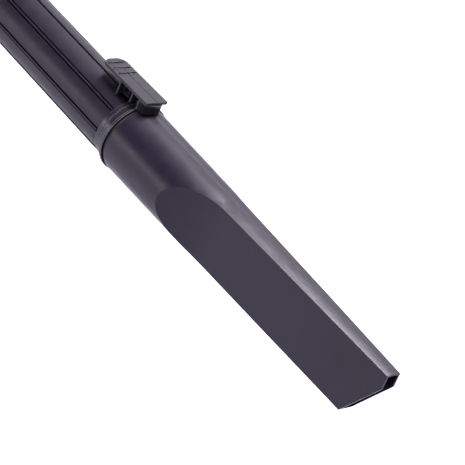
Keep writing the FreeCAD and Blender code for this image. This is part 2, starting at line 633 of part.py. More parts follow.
def mesh_screen():
    """Build the fine screen round the filter cage."""
    body = new_body("mesh_screen")
    inner = "screen_radius - screen_wall"
    turn(body, [("media_rear", inner), ("media_rear", "screen_radius"),
                ("media_front", "screen_radius"), ("media_front", inner)])


def filter_seat():
    """Build the ring plate that the filter and the gasket sit on."""
    body = new_body("filter_seat")
    outer = "shell_radius - shell_wall"
    turn(body, [("seat_rear", "seat_hole"), ("seat_rear", outer), ("seat_front", outer),
                ("seat_front", "seat_hole")])


# ---------------------------------------------------------------- housing
def housing_half(label, side):
    """Build one half of the shell with its screw bosses; side is +1 for +Y."""
    body = new_body(label)
    inner = "shell_radius - shell_wall"
    outline = [("shell_rear", inner), ("shell_rear", "shell_radius - 1"),
               ("shell_rear + 1", "shell_radius"), ("shell_front - 1.5", "shell_radius"),
               ("shell_front", "shell_radius - 1.2"), ("shell_front", inner)]
    turn(body, outline, angle=180, reverse=side < 0)
    if body.Tip.Shape.CenterOfMass.y * side < 0:
        body.Tip.Reversed = not body.Tip.Reversed
        doc.recompute()
    bosses = [(x, z, "boss_radius") for x in ("boss_x_rear", "boss_x_front")
              for z in ("boss_z", "-boss_z")]
    holes = [(x, z, "pilot_radius") for x, z, _ in bosses]
    heads = [(x, z, "head_hole") for x, z, _ in bosses]
    pad(body, "XZ_Plane", "boss_length", circles=bosses, middle=False, reverse=side > 0)
    pad(body, "XZ_Plane", "pilot_length", circles=holes, middle=False, cut=True, reverse=side < 0)
    if side < 0:
        pad(body, "XZ_Plane", "shell_radius", circles=holes, cut=True)
        pad(body, "XZ_Plane", "shell_radius", circles=heads, cut=True, middle=False,
            offset="boss_length", reverse=True)
    rear, front = "button_rear - button_gap", "button_front + button_gap"
    half = "button_half + button_gap"
    pad(body, "XY_Plane", "boss_length", cut=True, offset="shell_radius - 8", middle=False,
        reverse=True, outlines=[box_of(rear, front, half)])
    cap_lug(body, "" if side > 0 else "-")


def cap_lug(body, sign):
    """Add the lug that takes one of the rear cap's screws."""
    joint = "shell_rear + 0.1"
    pad(body, "XY_Plane", "lug_height", outlines=[[
        ("shell_rear + lug_front", sign + "lug_outer"), (joint, sign + "lug_outer"),
        (joint, sign + "lug_step"), ("shell_rear - lug_rear", sign + "lug_step"),
        ("shell_rear - lug_rear", sign + "lug_inner"),
        ("shell_rear + lug_front", sign + "lug_inner")]])
    pad(body, "YZ_Plane", "cap_screw_length + 2.2", offset="shell_rear - lug_rear - 1",
        middle=False, cut=True, reverse=True, circles=[(sign + "cap_screw_y", 0, "lug_pilot")])


def rear_cap():
    """Build the rear cap with its ring of exhaust slots."""
    body = new_body("rear_cap")
    inner = "shell_radius - shell_wall"
    turn(body, [("shell_rear", inner), ("shell_rear", "shell_radius - 1"),
                ("shell_rear - 1", "shell_radius"), ("cap_rear + cap_chamfer", "shell_radius"),
                ("cap_rear + 1.4", "shell_radius - 1.6"), ("cap_rear", "shell_radius - 6"),
                ("cap_rear", 0), ("cap_rear + cap_wall", 0),
                ("cap_rear + cap_wall", "shell_radius - 7"),
                ("cap_rear + 6", inner)])
    slot = pad(body, "YZ_Plane", "cap_wall * 3", offset="cap_rear - 2", middle=False, cut=True,
               reverse=True, outlines=[[("-vent_low_half", "vent_inner"),
                                        ("vent_low_half", "vent_inner"),
                                        ("vent_top_half", "vent_outer"),
                                        ("-vent_top_half", "vent_outer")]])
    around(body, slot, "vent_count")
    pad(body, "YZ_Plane", "cap_wall * 3", offset="cap_rear - 2", middle=False, cut=True,
        reverse=True, circles=[(0, "-port_z", "jack_radius"), (0, "port_z", "lamp_radius"),
                               ("-cap_screw_y", 0, "cap_screw_radius"),
                               ("cap_screw_y", 0, "cap_screw_radius")])


def base_pad():
    """Build the foot the vacuum stands on, hollowed to the housing's curve."""
    body = new_body("base_pad", "ground")
    pad(body, "XY_Plane", "foot_height", middle=False, outlines=[[
        ("foot_rear", "-foot_half"), ("foot_front", "-foot_half"), ("foot_front", "foot_half"),
        ("foot_rear", "foot_half")]])
    soften(body, number("foot_corner"), along_z)
    groove = body.newObject("PartDesign::Pocket", "base_pad_cradle")
    groove.Profile = sketch_of(body, "YZ_Plane", circles=[(0, "axis_height", "shell_radius")])
    groove.Midplane = True
    drive(groove, "Length", "2 * (foot_front - foot_rear)")
    doc.recompute()


def top_handle():
    """Build the loop handle that stands on the housing's spine."""
    body = new_body("top_handle")
    foot = "shell_radius - 8"
    pad(body, "XZ_Plane", "handle_width", outlines=[[
        ("handle_rear", foot), ("handle_rear - 4", "handle_top - handle_bar"),
        ("handle_rear + 8", "handle_top - 4"), ("handle_rear + 16", "handle_top"),
        ("handle_front - 6", "handle_top"), ("handle_front", "handle_top - 7"),
        ("handle_front", foot)]])
    under, floor = "handle_top - handle_bar", "shell_radius + gap_floor"
    pad(body, "XZ_Plane", "handle_width * 3", cut=True, outlines=[[
        ("handle_rear + 20", floor), ("handle_front - 22", floor),
        ("handle_front - 20", under + " - 7"), ("handle_front - 26", under),
        ("handle_rear + 24", under), ("handle_rear + 19", under + " - 6")]])
    soften(body, number("handle_round"), lambda e: straight(e) and not along_y(e)
           and e.CenterOfMass.z > number("shell_radius + 8"))
    cradle = body.newObject("PartDesign::Pocket", "handle_cradle")
    cradle.Profile = sketch_of(body, "YZ_Plane", circles=[(0, 0, "shell_radius")])
    cradle.Midplane = True
    drive(cradle, "Length", "3 * (handle_front - handle_rear)")
    doc.recompute()
    pad(body, "XY_Plane", "well_depth", cut=True, offset="handle_top", middle=False,
        outlines=[box_of("well_rear", "well_front", "well_half")])
    pad(body, "XY_Plane", "grip_depth", cut=True, offset="handle_top", middle=False,
        outlines=[box_of("grip_rear", "grip_front", "grip_half")])


def handle_grip():
    """Build the soft strip let into the handle's top."""
    body = new_body("handle_grip")
    pad(body, "XY_Plane", "grip_height", offset="handle_top - grip_depth", middle=False,
        outlines=[box_of("grip_rear", "grip_front", "grip_half")])
    soften(body, 1, lambda e: e.CenterOfMass.z > number("handle_top + 1"))


def power_switch():
    """Build the sliding power switch with its stem."""
    body = new_body("power_switch")
    pad(body, "XY_Plane", "switch_height", offset="handle_top + 0.3", middle=False,
        outlines=[box_of("switch_rear", "switch_front", "switch_half")])
    soften(body, number("switch_height / 2"), along_z)
    pad(body, "XY_Plane", "switch_height + 0.6", offset="handle_top - switch_height",
        middle=False, outlines=[box_of("stem_rear", "stem_front", "stem_half")])
    for index in range(4):
        rear = "stem_rear + 1 + %d * rail_pitch" % index
        pad(body, "XY_Plane", "rail_rise", offset="handle_top + switch_height + 0.2",
            middle=False, outlines=[box_of(rear, rear + " + rail", "rail_half")])


def switch_module():
    """Build the electric switch under the slider."""
    body = new_body("switch_module")
    pad(body, "XY_Plane", "module_height", offset="handle_top - well_depth", middle=False,
        outlines=[box_of("well_rear + module_play", "well_front - module_play",
                         "well_half - 0.3")])


def cup_button():
    """Build the cup's release button."""
    body = new_body("cup_button")
    pad(body, "XY_Plane", "button_height", offset="shell_radius + 3 - button_height",
        middle=False, outlines=[box_of("button_rear", "button_front", "button_half")])
    soften(body, 1.2, lambda e: e.CenterOfMass.z > number("shell_radius + 2.9"))


def button_shelf():
    """Build the shelf that carries the button's spring."""
    body = new_body("button_shelf")
    pad(body, "XZ_Plane", "shelf_width", outlines=[[
        ("shelf_x", "shelf_low"), ("shelf_x", "shelf_top"), ("button_front", "shelf_top"),
        ("button_front", "shelf_low + root"), ("shelf_x + 4", "shelf_low")]])


def button_spring():
    """Build the button's coil spring."""
    body = new_body("button_spring")
    sketch = sketch_of(body, "XZ_Plane", circles=[("coil_ring", "shelf_top + root", "coil_wire")])
    drive(sketch, "AttachmentOffset.Base.x", "(button_rear + button_front) / 2")
    helix = body.newObject("PartDesign::AdditiveHelix", "button_spring_helix")
    helix.Profile = sketch
    helix.ReferenceAxis = (sketch, ["V_Axis"])
    helix.Mode = 1
    drive(helix, "Pitch", "coil_pitch")
    drive(helix, "Turns", "coil_turns")
    doc.recompute()


# ---------------------------------------------------------------- motor
def motor_can():
    """Build the motor's steel can with its two bearing ends."""
    body = new_body("motor_can")
    bore = "shaft_radius + bearing_play"
    turn(body, [("can_rear", bore), ("can_rear", "can_radius"), ("can_front", "can_radius"),
                ("can_front", bore), ("can_front - can_end", bore),
                ("can_front - can_end", "can_radius - can_end"),
                ("can_rear + can_end", "can_radius - can_end"), ("can_rear + can_end", bore)])


def motor_core():
    """Build the rotor inside the can."""
    body = new_body("motor_core")
    rear, front = "can_rear + core_inset", "can_front - core_inset"
    outer = "can_radius - core_inset"
    turn(body, [(rear, "shaft_radius"), (rear, outer), (front, outer), (front, "shaft_radius")])


def motor_shaft():
    """Build the shaft that carries rotor and fan."""
    body = new_body("motor_shaft")
    rear = "can_rear - shaft_rear"
    turn(body, [(rear, 0), (rear, "shaft_radius"), ("shaft_front", "shaft_radius"),
                ("shaft_front", 0)])


def fan_impeller():
    """Build the fan: hub, back plate and curved-back blades."""
    body = new_body("fan_impeller")
    plate = "fan_rear + fan_plate"
    turn(body, [("fan_rear", "shaft_radius"), ("fan_rear", "fan_radius"), (plate, "fan_radius"),
                (plate, "hub_low"), ("hub_front - fan_plate", "hub_top"), ("hub_front", "hub_top"),
                ("hub_front", "shaft_radius")])
    blade = pad(body, "YZ_Plane", "blade_height", offset=plate + " - 0.5", middle=False, outlines=[[
        (-1, 9), (0.8, 9), (9, "fan_radius - 5"), (7.4, "fan_radius - 4.6")]])
    around(body, blade, "fan_blades")


def fan_shroud():
    """Build the fan's cover with its round eye."""
    body = new_body("fan_shroud")
    outer, inner = "shell_radius - shell_wall", "shroud_radius - shroud_wall"
    flange, face = "shroud_rear + shroud_wall", "shroud_front - shroud_wall"
    turn(body, [("shroud_rear", inner), ("shroud_rear", outer), (flange, outer),
                (flange, "shroud_radius"), ("shroud_front", "shroud_radius"),
                ("shroud_front", "shroud_eye"), (face, "shroud_eye"), (face, inner)])


def motor_mount(label, position):
    """Build a plate that holds the motor in the shell, with air slots."""
    body = new_body(label)
    front, outer = position + " + mount_thickness", "shell_radius - shell_wall"
    turn(body, [(position, "can_radius"), (position, outer), (front, outer),
                (front, "can_radius")])
    air_slots(body, position)


def air_slots(body, position):
    """Cut the ring of air slots through a plate."""
    low, top = "mount_slot_low", "mount_slot_top"
    slot = pad(body, "YZ_Plane", "mount_thickness * 8", offset=position, cut=True,
               outlines=[[(-9, low), (9, low), (8, top), (-8, top)]])
    around(body, slot, "mount_slots")


def circuit_board():
    """Build the control board between the two motor plates."""
    body = new_body("circuit_board")
    pad(body, "XY_Plane", "board_thickness", offset="board_z", middle=False,
        outlines=[box_of("board_rear", "board_front", "board_half")])


def cell_places():
    """Return the centre of every battery cell as (y, z) expressions."""
    step = "360 / cell_count"
    return [("cell_ring * sin(%d * %s)" % (i, step), "cell_ring * cos(%d * %s)" % (i, step))
            for i in range(int(number("cell_count")))]


def battery_cells():
    """Build the ring of equal round cells."""
    cells = []
    for index, (y, z) in enumerate(cell_places()):
        cell = doc.addObject("Part::Cylinder", "cell_%d" % index)
        drive(cell, "Radius", "cell_radius")
        drive(cell, "Height", "cell_length")
        cell.Placement = Placement(Vector(number("shell_rear + 3"), number(y),
                                          number("axis_height + " + z)),
                                   Rotation(Vector(0, 1, 0), 90))
        cells.append(cell)
    group("battery_cells", cells)


def battery_cradle():
    """Build the plate that holds the cells."""
    body = new_body("battery_cradle")
    outer = "shell_radius - shell_wall"
    turn(body, [("cradle_rear", 0), ("cradle_rear", outer), ("cradle_front", outer),
                ("cradle_front", 0)])
    pad(body, "YZ_Plane", "cell_length", offset="cradle_rear", cut=True,
        circles=[(y, z, "cell_radius") for y, z in cell_places()])
    air_slots(body, "cradle_rear")


def exhaust_foam():
    """Build the foam disc behind the exhaust slots."""
    body = new_body("exhaust_foam")
    rear, front = "cap_rear + cap_wall", "cap_rear + foam_front"
    turn(body, [(rear, "foam_inner"), (rear, "foam_outer"), (front, "foam_outer"),
                (front, "foam_inner")])


def charge_jack():
    """Build the charging socket in the rear cap."""
    body = new_body("charge_jack")
    pad(body, "YZ_Plane", "jack_length", offset="cap_rear", middle=False,
        circles=[(0, "-port_z", "jack_radius")])
    pad(body, "YZ_Plane", "jack_depth", offset="cap_rear", middle=False, cut=True, reverse=True,
        circles=[(0, "-port_z", "jack_bore")])


def charge_lamp():
    """Build the charging lamp in the rear cap."""
    body = new_body("charge_lamp")
    pad(body, "YZ_Plane", "lamp_length", offset="cap_rear - lamp_proud", middle=False,
        circles=[(0, "port_z", "lamp_radius")])


def screws():
    """Build the screws of the housing and the rear cap."""
    side = []
    for x in ("boss_x_rear", "boss_x_front"):
        for z in ("axis_height + boss_z", "axis_height - boss_z"):
            place = Placement(Vector(number(x), number("-boss_length"), number(z)),
                              Rotation(Vector(1, 0, 0), -90))
            side.append(screw("side_screw_%d" % len(side), place, "head_radius", "head_height",
                              "screw_radius", "screw_length"))
    group("housing_screws", side)
    rear = []
    for y in ("-cap_screw_y", "cap_screw_y"):
        place = Placement(Vector(number("cap_rear"), number(y), number("axis_height")),
                          Rotation(Vector(0, 1, 0), 90))
        rear.append(screw("rear_screw_%d" % len(rear), place, "cap_head_radius",
                          "cap_head_height", "cap_screw_radius", "cap_screw_length"))
    group("cap_screws", rear)


def build_all():
    """Build every sub-part."""
    crevice_nozzle()
    wand_tube()
    end_collar()
    seal_ring()
    pedal_bracket()
    thumb_pedal()
    pedal_pin()
    pedal_spring()
    wand_ferrule()
    wand_seal()
    dust_cup()
    inlet_duct()
    inlet_flap()
    flap_pin()
    cup_seal()
    filter_frame()
    pleated_filter()
    mesh_screen()
    filter_seat()
    housing_half("housing_left", 1)
    housing_half("housing_right", -1)
    rear_cap()
    base_pad()
    top_handle()
    handle_grip()
    power_switch()
    switch_module()
    cup_button()
    button_shelf()
    button_spring()
    motor_can()
    motor_core()
    motor_shaft()
    fan_impeller()
    fan_shroud()
    motor_mount("front_motor_mount", "can_front - 8")
    motor_mount("rear_motor_mount", "can_rear + 8")
    circuit_board()
    battery_cells()
    battery_cradle()
    exhaust_foam()
    charge_jack()
    charge_lamp()
    screws()
    doc.recompute()


def export_all():
    """Check every object and write one STEP file per node."""
    os.makedirs("parts", exist_ok=True)
    for thing in doc.Objects:
        if "Invalid" in thing.State or "Error" in thing.State:
            raise RuntimeError("not computed: " + thing.Name)
    for node in nodes:
        if node.Shape.isNull() or not node.Shape.isValid() or not node.Shape.Solids:
            raise RuntimeError("bad shape: " + node.Label)
        node.Shape.exportStep("parts/%s.step" % node.Label)
        box = node.Shape.BoundBox
        print("%-18s %9.0f mm3  x %.1f..%.1f y %.1f..%.1f z %.1f..%.1f solids %d" % (
            node.Label, node.Shape.Volume, box.XMin, box.XMax, box.YMin, box.YMax,
            box.ZMin, box.ZMax, len(node.Shape.Solids)))


build_all()
export_all()
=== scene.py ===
"""Looks of the cordless handheld vacuum: finishes, small fittings, studio and camera."""
import logging
import math
from collections.abc import Sequence
from dataclasses import dataclass, field
from enum import Enum

import bmesh
import bpy
from mathutils import Matrix, Vector


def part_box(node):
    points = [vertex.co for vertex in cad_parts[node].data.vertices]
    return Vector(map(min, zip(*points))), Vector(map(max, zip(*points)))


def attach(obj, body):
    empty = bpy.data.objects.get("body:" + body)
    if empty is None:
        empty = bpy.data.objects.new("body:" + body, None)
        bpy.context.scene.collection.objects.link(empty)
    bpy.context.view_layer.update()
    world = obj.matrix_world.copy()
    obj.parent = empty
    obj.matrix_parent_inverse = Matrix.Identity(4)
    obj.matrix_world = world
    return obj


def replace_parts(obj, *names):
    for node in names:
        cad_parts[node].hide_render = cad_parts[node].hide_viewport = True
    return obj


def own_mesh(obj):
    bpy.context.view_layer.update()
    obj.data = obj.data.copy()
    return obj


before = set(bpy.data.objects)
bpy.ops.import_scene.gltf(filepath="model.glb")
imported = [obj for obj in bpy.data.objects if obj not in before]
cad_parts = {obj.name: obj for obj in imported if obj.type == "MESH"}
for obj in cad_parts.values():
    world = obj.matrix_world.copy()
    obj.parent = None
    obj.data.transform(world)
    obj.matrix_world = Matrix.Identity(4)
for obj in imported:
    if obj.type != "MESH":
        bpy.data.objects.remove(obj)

Tree = bpy.types.NodeTree
Socket = bpy.types.NodeSocket
log = logging.getLogger("vacuum")
MM = 0.001
# Waves per metre of the slow mottling and of the wandering gloss.
MOTTLE_SCALE = 45.0
GLOSS_SCALE = 160.0
# Where nearly all values of a noise texture lie.
NOISE_LOW, NOISE_HIGH = 0.3, 0.7
# Depth of the fine texture as a share of its grain size.
RELIEF_SHARE = 0.3
# Ambient openness where the painted shade of a hollow is full, and where it ends.
FULL_SHADE_OPENNESS, NO_SHADE_OPENNESS = 0.35, 0.85
# Likeness of rounded and flat normal where the painted edge highlight starts, and where it is
# full.
EDGE_HIGHLIGHT_START, EDGE_HIGHLIGHT_FULL = 0.97, 0.80
# Colour of the painted shade in the hollows.
PAINTED_HOLLOW_SHADE = "#040305"
# Colour of the painted shade under the pedal, and the roughness that goes with it there.
PAINTED_UNDER_SHADE = "#030204"
UNPOLISHED_ROUGHNESS = 0.95
# Edges bent more than this stay sharp under smooth shading.
SHARP_ANGLE = math.radians(32)
# Steps round a large ring.
RING_STEPS = 160
# Turn that sets a flat circle across the X axis.
ACROSS_X = (0.0, math.pi / 2, 0.0)


# ------------------------------------------------------------------ small tools
def linear(code: str) -> tuple[float, float, float, float]:
    """Turn an sRGB hex colour into linear values.

    Args:
        code: Six hex digits, with or without a leading hash.

    Returns:
        Red, green, blue and an alpha of one.
    """
    code = code.lstrip("#")
    parts = [int(code[i:i + 2], 16) / 255 for i in (0, 2, 4)]
    red, green, blue = (p / 12.92 if p <= 0.04045 else ((p + 0.055) / 1.055) ** 2.4
                        for p in parts)
    return (red, green, blue, 1.0)


def add_node(tree: Tree, kind: str, links: dict | None = None,
             values: dict | None = None, **settings: object) -> bpy.types.Node:
    """Add a node with its settings, socket values and incoming links.

    Args:
        tree: The tree that gets the node.
        kind: The node's type name.
        links: Input socket (name or index) to the output socket it reads.
        values: Input socket (name or index) to its fixed value.
        settings: Properties of the node itself.

    Returns:
        The new node.
    """
    node = tree.nodes.new(kind)
    for name, value in settings.items():
        setattr(node, name, value)
    for socket, value in (values or {}).items():
        node.inputs[socket].default_value = value
    for socket, source in (links or {}).items():
        tree.links.new(source, node.inputs[socket])
    return node


class Grain(Enum):
    """How a surface is textured."""

    SPARKED = "sparked"
    POLISHED = "polished"
    BRUSHED = "brushed"
    FIBROUS = "fibrous"
    CELLULAR = "cellular"
    WOUND = "wound"


@dataclass(frozen=True)
class Finish:
    """A material and how its surface was made.

    Attributes:
        name: Common name and process.
        colour: Main sRGB hex colour.
        shade: Second hex colour of the slow mottling.
        roughness: Middle roughness.
        spread: How far roughness wanders either side.
        grain: The kind of fine texture.
        grain_mm: Real size of that texture.
        relief: Strength of the fine texture's bump.
        metallic: One for bare metal.
        ior: Index of refraction of what isn't metal.
        clear: Share of light let through.
        coat: Weight of a clear coat.
        sheen: Weight of fibre sheen.
        glow: Emission strength.
        specular: Specular level.
        tint: Hex tint of the straight-on reflection.
        edge_mm: Radius of the rounding that the mould leaves on every edge.
        edge: Hex colour of the painted highlight that edges tend to.
        painted_shade_below: Height in metres under which the colour is painted near black as shade
            and the roughness is raised.
        painted_shade_half: Half width in metres of that painted shade zone.
        painted_shade_mm: Reach of the painted shade that darkens the hollows and dims their
            reflections; nothing where it is zero.
    """

    name: str
    colour: str
    shade: str
    roughness: float
    spread: float = 0.04
    grain: Grain = Grain.SPARKED
    grain_mm: float = 0.35
    relief: float = 0.12
    metallic: float = 0.0
    ior: float = 1.5
    clear: float = 0.0
    coat: float = 0.0
    sheen: float = 0.0
    glow: float = 0.0
    specular: float = 0.5
    tint: str = "#FFFFFF"
    edge_mm: float = 0.25
    edge: str = ""
    painted_shade_below: float = 0.0
    painted_shade_half: float = 0.0
    painted_shade_mm: float = 0.0

    def build(self) -> bpy.types.Material:
        """Build the node material.

        Returns:
            The material, made once and then reused.
        """
        known = bpy.data.materials.get(self.name)
        if known:
            return known
        material = bpy.data.materials.new(self.name)
        material.use_nodes = True
        tree = material.node_tree
        shader = tree.nodes["Principled BSDF"]
        place = add_node(tree, "ShaderNodeTexCoord").outputs["Object"]
        height = self._height(tree, place)
        rounding = add_node(tree, "ShaderNodeBevel", values={"Radius": self.edge_mm * MM},
                            samples=4).outputs["Normal"]
        bump = add_node(tree, "ShaderNodeBump", {"Height": height, "Normal": rounding},
                        {"Strength": self.relief,
                         "Distance": self.grain_mm * MM * RELIEF_SHARE})
        tree.links.new(bump.outputs["Normal"], shader.inputs["Normal"])
        colour = self._colour(tree, place, height)
        roughness = self._roughness(tree, place)
        # Painted highlights along the edges.
        if self.edge:
            colour = self._paint_edge_highlights(tree, colour, rounding)
        # Painted shade in the hollow under the pedal, with raised roughness.
        if self.painted_shade_below:
            colour, roughness = self._paint_under_shade(tree, place, colour, roughness)
        # Painted shade in the hollows, and dimmer reflections there.
        if self.painted_shade_mm:
            colour = self._paint_hollow_shade(tree, colour, shader)
        tree.links.new(colour, shader.inputs["Base Color"])
        tree.links.new(roughness, shader.inputs["Roughness"])
        if not self.metallic:
            shader.inputs["IOR"].default_value = self.ior
            shader.inputs["Specular IOR Level"].default_value = self.specular
            shader.inputs["Specular Tint"].default_value = linear(self.tint)
        shader.inputs["Metallic"].default_value = self.metallic
        shader.inputs["Transmission Weight"].default_value = self.clear
        shader.inputs["Coat Weight"].default_value = self.coat
        shader.inputs["Sheen Weight"].default_value = self.sheen
        if self.glow:
            shader.inputs["Emission Color"].default_value = linear(self.colour)
            shader.inputs["Emission Strength"].default_value = self.glow
        return material

    def _paint_hollow_shade(self, tree: Tree, colour: Socket,
              shader: bpy.types.Node) -> Socket:
        """Return the colour with painted shade darkening its hollows, and dim their reflections
        too.
        """
        open_ = add_node(tree, "ShaderNodeAmbientOcclusion",
                         values={"Distance": self.painted_shade_mm * MM}, samples=6).outputs["AO"]
        unshaded = add_node(tree, "ShaderNodeMapRange", {"Value": open_},
                         {"From Min": FULL_SHADE_OPENNESS, "From Max": NO_SHADE_OPENNESS})
        shine = add_node(tree, "ShaderNodeMath", {0: unshaded.outputs["Result"]},
                         {1: self.specular}, operation="MULTIPLY").outputs[0]
        tree.links.new(shine, shader.inputs["Specular IOR Level"])
        return add_node(tree, "ShaderNodeMix", {"Factor": unshaded.outputs["Result"], 7: colour},
                        {6: linear(PAINTED_HOLLOW_SHADE)}, data_type="RGBA").outputs[2]

    def _paint_edge_highlights(self, tree: Tree, colour: Socket,
                   rounding: Socket) -> Socket:
        """Return the colour with painted highlights along its edges."""
        flat = add_node(tree, "ShaderNodeNewGeometry").outputs["Normal"]
        likeness = add_node(tree, "ShaderNodeVectorMath", {0: rounding, 1: flat},
                            operation="DOT_PRODUCT").outputs["Value"]
        highlit = add_node(tree, "ShaderNodeMapRange", {"Value": likeness},
                          {"From Min": EDGE_HIGHLIGHT_START, "From Max": EDGE_HIGHLIGHT_FULL})
        return add_node(tree, "ShaderNodeMix", {"Factor": highlit.outputs["Result"], 6: colour},
                        {7: linear(self.edge)}, data_type="RGBA").outputs[2]

    def _paint_under_shade(self, tree: Tree, place: Socket,
               colour: Socket, roughness: Socket
               ) -> tuple[Socket, Socket]:
        """Return colour and roughness with the low inner zone rough and its colour painted black
        as shade.
        """
        axes = add_node(tree, "ShaderNodeSeparateXYZ", {"Vector": place}).outputs
        under = add_node(tree, "ShaderNodeMath", {0: axes["Z"]}, {1: self.painted_shade_below},
                         operation="LESS_THAN").outputs[0]
        side = add_node(tree, "ShaderNodeMath", {0: axes["Y"]}, operation="ABSOLUTE").outputs[0]
        inner = add_node(tree, "ShaderNodeMath", {0: side}, {1: self.painted_shade_half},
                         operation="LESS_THAN").outputs[0]
        both = add_node(tree, "ShaderNodeMath", {0: under, 1: inner},
                        operation="MULTIPLY").outputs[0]
        shaded_colour = add_node(tree, "ShaderNodeMix", {"Factor": both, 6: colour},
                        {7: linear(PAINTED_UNDER_SHADE)}, data_type="RGBA").outputs[2]
        rough = add_node(tree, "ShaderNodeMix", {"Factor": both, 2: roughness},
                         {3: UNPOLISHED_ROUGHNESS}, data_type="FLOAT").outputs[0]
        return shaded_colour, rough

    def _height(self, tree: Tree, place: Socket
                ) -> Socket:
        """Return the fine texture's height."""
        per_metre = 1.0 / (self.grain_mm * MM)
        if self.grain is Grain.CELLULAR:
            return add_node(tree, "ShaderNodeTexVoronoi", {"Vector": place},
                            {"Scale": per_metre}).outputs["Distance"]
        stretch = {Grain.BRUSHED: (0.04, 1.0, 1.0), Grain.FIBROUS: (1.0, 0.25, 1.0),
                   Grain.WOUND: (0.05, 1.0, 1.0)}.get(self.grain, (1.0, 1.0, 1.0))
        mapped = add_node(tree, "ShaderNodeMapping", {"Vector": place}, {"Scale": stretch})
        detail = 1.0 if self.grain is Grain.POLISHED else 3.0
        return add_node(tree, "ShaderNodeTexNoise", {"Vector": mapped.outputs["Vector"]},
                        {"Scale": per_metre * 0.5, "Detail": detail, "Roughness": 0.6}
                        ).outputs["Fac"]

    def _colour(self, tree: Tree, place: Socket,
                height: Socket) -> Socket:
        """Return the colour: slow mottling with a touch of the fine texture."""
        slow = add_node(tree, "ShaderNodeTexNoise", {"Vector": place},
                        {"Scale": MOTTLE_SCALE, "Detail": 2.0})
        both = add_node(tree, "ShaderNodeMath", {0: slow.outputs["Fac"], 1: height},
                        operation="ADD")
        ramp = add_node(tree, "ShaderNodeValToRGB",
                        {"Fac": add_node(tree, "ShaderNodeMath", {0: both.outputs[0]},
                                         {1: 0.5}, operation="MULTIPLY").outputs[0]})
        ramp.color_ramp.elements[0].position = NOISE_LOW
        ramp.color_ramp.elements[1].position = NOISE_HIGH
        ramp.color_ramp.elements[0].color = linear(self.shade)
        ramp.color_ramp.elements[1].color = linear(self.colour)
        return ramp.outputs["Color"]

    def _roughness(self, tree: Tree, place: Socket
                   ) -> Socket:
        """Return the wandering roughness."""
        noise = add_node(tree, "ShaderNodeTexNoise", {"Vector": place},
                         {"Scale": GLOSS_SCALE, "Detail": 3.0})
        return add_node(tree, "ShaderNodeMapRange", {"Value": noise.outputs["Fac"]},
                        {"From Min": NOISE_LOW, "From Max": NOISE_HIGH,
                         "To Min": self.roughness - self.spread,
                         "To Max": self.roughness + self.spread}).outputs["Result"]


# Polypropylene from a spark-eroded mould: near black, a soft broad shine, faint violet cast;
# painted highlights on its edges and painted shade in its hollows.
POLYPROPYLENE = Finish("polypropylene_moulded_satin", "#120C1B", "#0E0915", 0.38,
                       specular=0.27, tint="#F7F1FF", edge="#4A4552", edge_mm=0.12, painted_shade_mm=9.0)
# The same plastic on the collar, from a brighter mould, with a bright painted highlight along its
# edges.
COLLAR_PLASTIC = Finish("polypropylene_moulded_collar", "#13101A", "#100D15", 0.32,
                        specular=0.4, edge="#8F899C", edge_mm=0.35)
# The same plastic on the pedal, with painted highlights on its edges; in the hollow under it the
# colour is painted near black as shade, and the roughness raised.
PEDAL_PLASTIC = Finish("polypropylene_moulded_pedal", "#120C1B", "#0E0915", 0.40,
                       specular=0.27, edge="#5A5562", painted_shade_below=0.0844, painted_shade_half=0.0063)
# The same plastic again, deep in the pedal's shade: its colour painted near black as shade, and
# dull.
SHADED_PLASTIC = Finish("polypropylene_painted_shade", "#060508", "#040306", 0.9,
                        specular=0.1)
# Blackened steel of pin and spring: dark oxide, oily satin, painted darker still as the shade of
# the pedal's hollow.
BLACK_STEEL = Finish("steel_black_oxide_painted_shade", "#0A0A0C", "#070708", 0.5, grain=Grain.BRUSHED,
                     grain_mm=0.2, metallic=1.0)
# The same plastic on the wand, a little rougher from the extruder's die; painted highlights on its
# edges and painted shade in its hollows.
EXTRUDED = Finish("polypropylene_extruded", "#110B1A", "#0D0813", 0.42, grain_mm=0.3,
                  specular=0.27, tint="#F7F1FF", edge="#3A3640", painted_shade_mm=9.0)
# Nitrile rubber, pressed: dead matte black.
RUBBER = Finish("nitrile_rubber_pressed", "#0B0B0C", "#070708", 0.7, grain_mm=0.5, relief=0.2)
# ABS with a fine leathery mould grain: dark grey, flat shine.
GRAINED_ABS = Finish("abs_moulded_grained", "#26252B", "#201F25", 0.48, grain_mm=0.9,
                     relief=0.3)
# ABS behind the covers: plain charcoal.
INNER_ABS = Finish("abs_moulded_plain", "#34343A", "#2C2C32", 0.5, grain_mm=0.5)
# Polished ABS keys: mid grey with a clear shine.
KEY_ABS = Finish("abs_polished_key", "#7D8088", "#757880", 0.25, grain=Grain.POLISHED,
                 relief=0.04, coat=0.3)
# Smoke-tinted polycarbonate, polished mould: see-through grey.
SMOKED = Finish("polycarbonate_smoked", "#8C8C96", "#84848E", 0.05, spread=0.02,
                grain=Grain.POLISHED, relief=0.01, ior=1.58, clear=0.94)
# Zinc-plated steel: pale grey, fine drawn lines.
ZINC_STEEL = Finish("steel_zinc_plated", "#B4B6B8", "#9A9C9F", 0.32, grain=Grain.BRUSHED,
                    grain_mm=0.25, relief=0.08, metallic=1.0)
# Deep-drawn steel of the motor can.
DRAWN_STEEL = Finish("steel_deep_drawn", "#8E9093", "#7A7C80", 0.36, grain=Grain.BRUSHED,
                     grain_mm=0.4, relief=0.1, metallic=1.0)
# Enamelled copper winding.
COPPER = Finish("copper_enamelled_wound", "#B06A3A", "#8C4E28", 0.35, grain=Grain.WOUND,
                grain_mm=0.8, relief=0.6, metallic=1.0)
# Pleated cellulose filter paper: warm white with fibres.
PAPER = Finish("cellulose_paper_pleated", "#D9D5C8", "#C9C4B4", 0.85, grain=Grain.FIBROUS,
               grain_mm=0.4, relief=0.3, sheen=0.1)
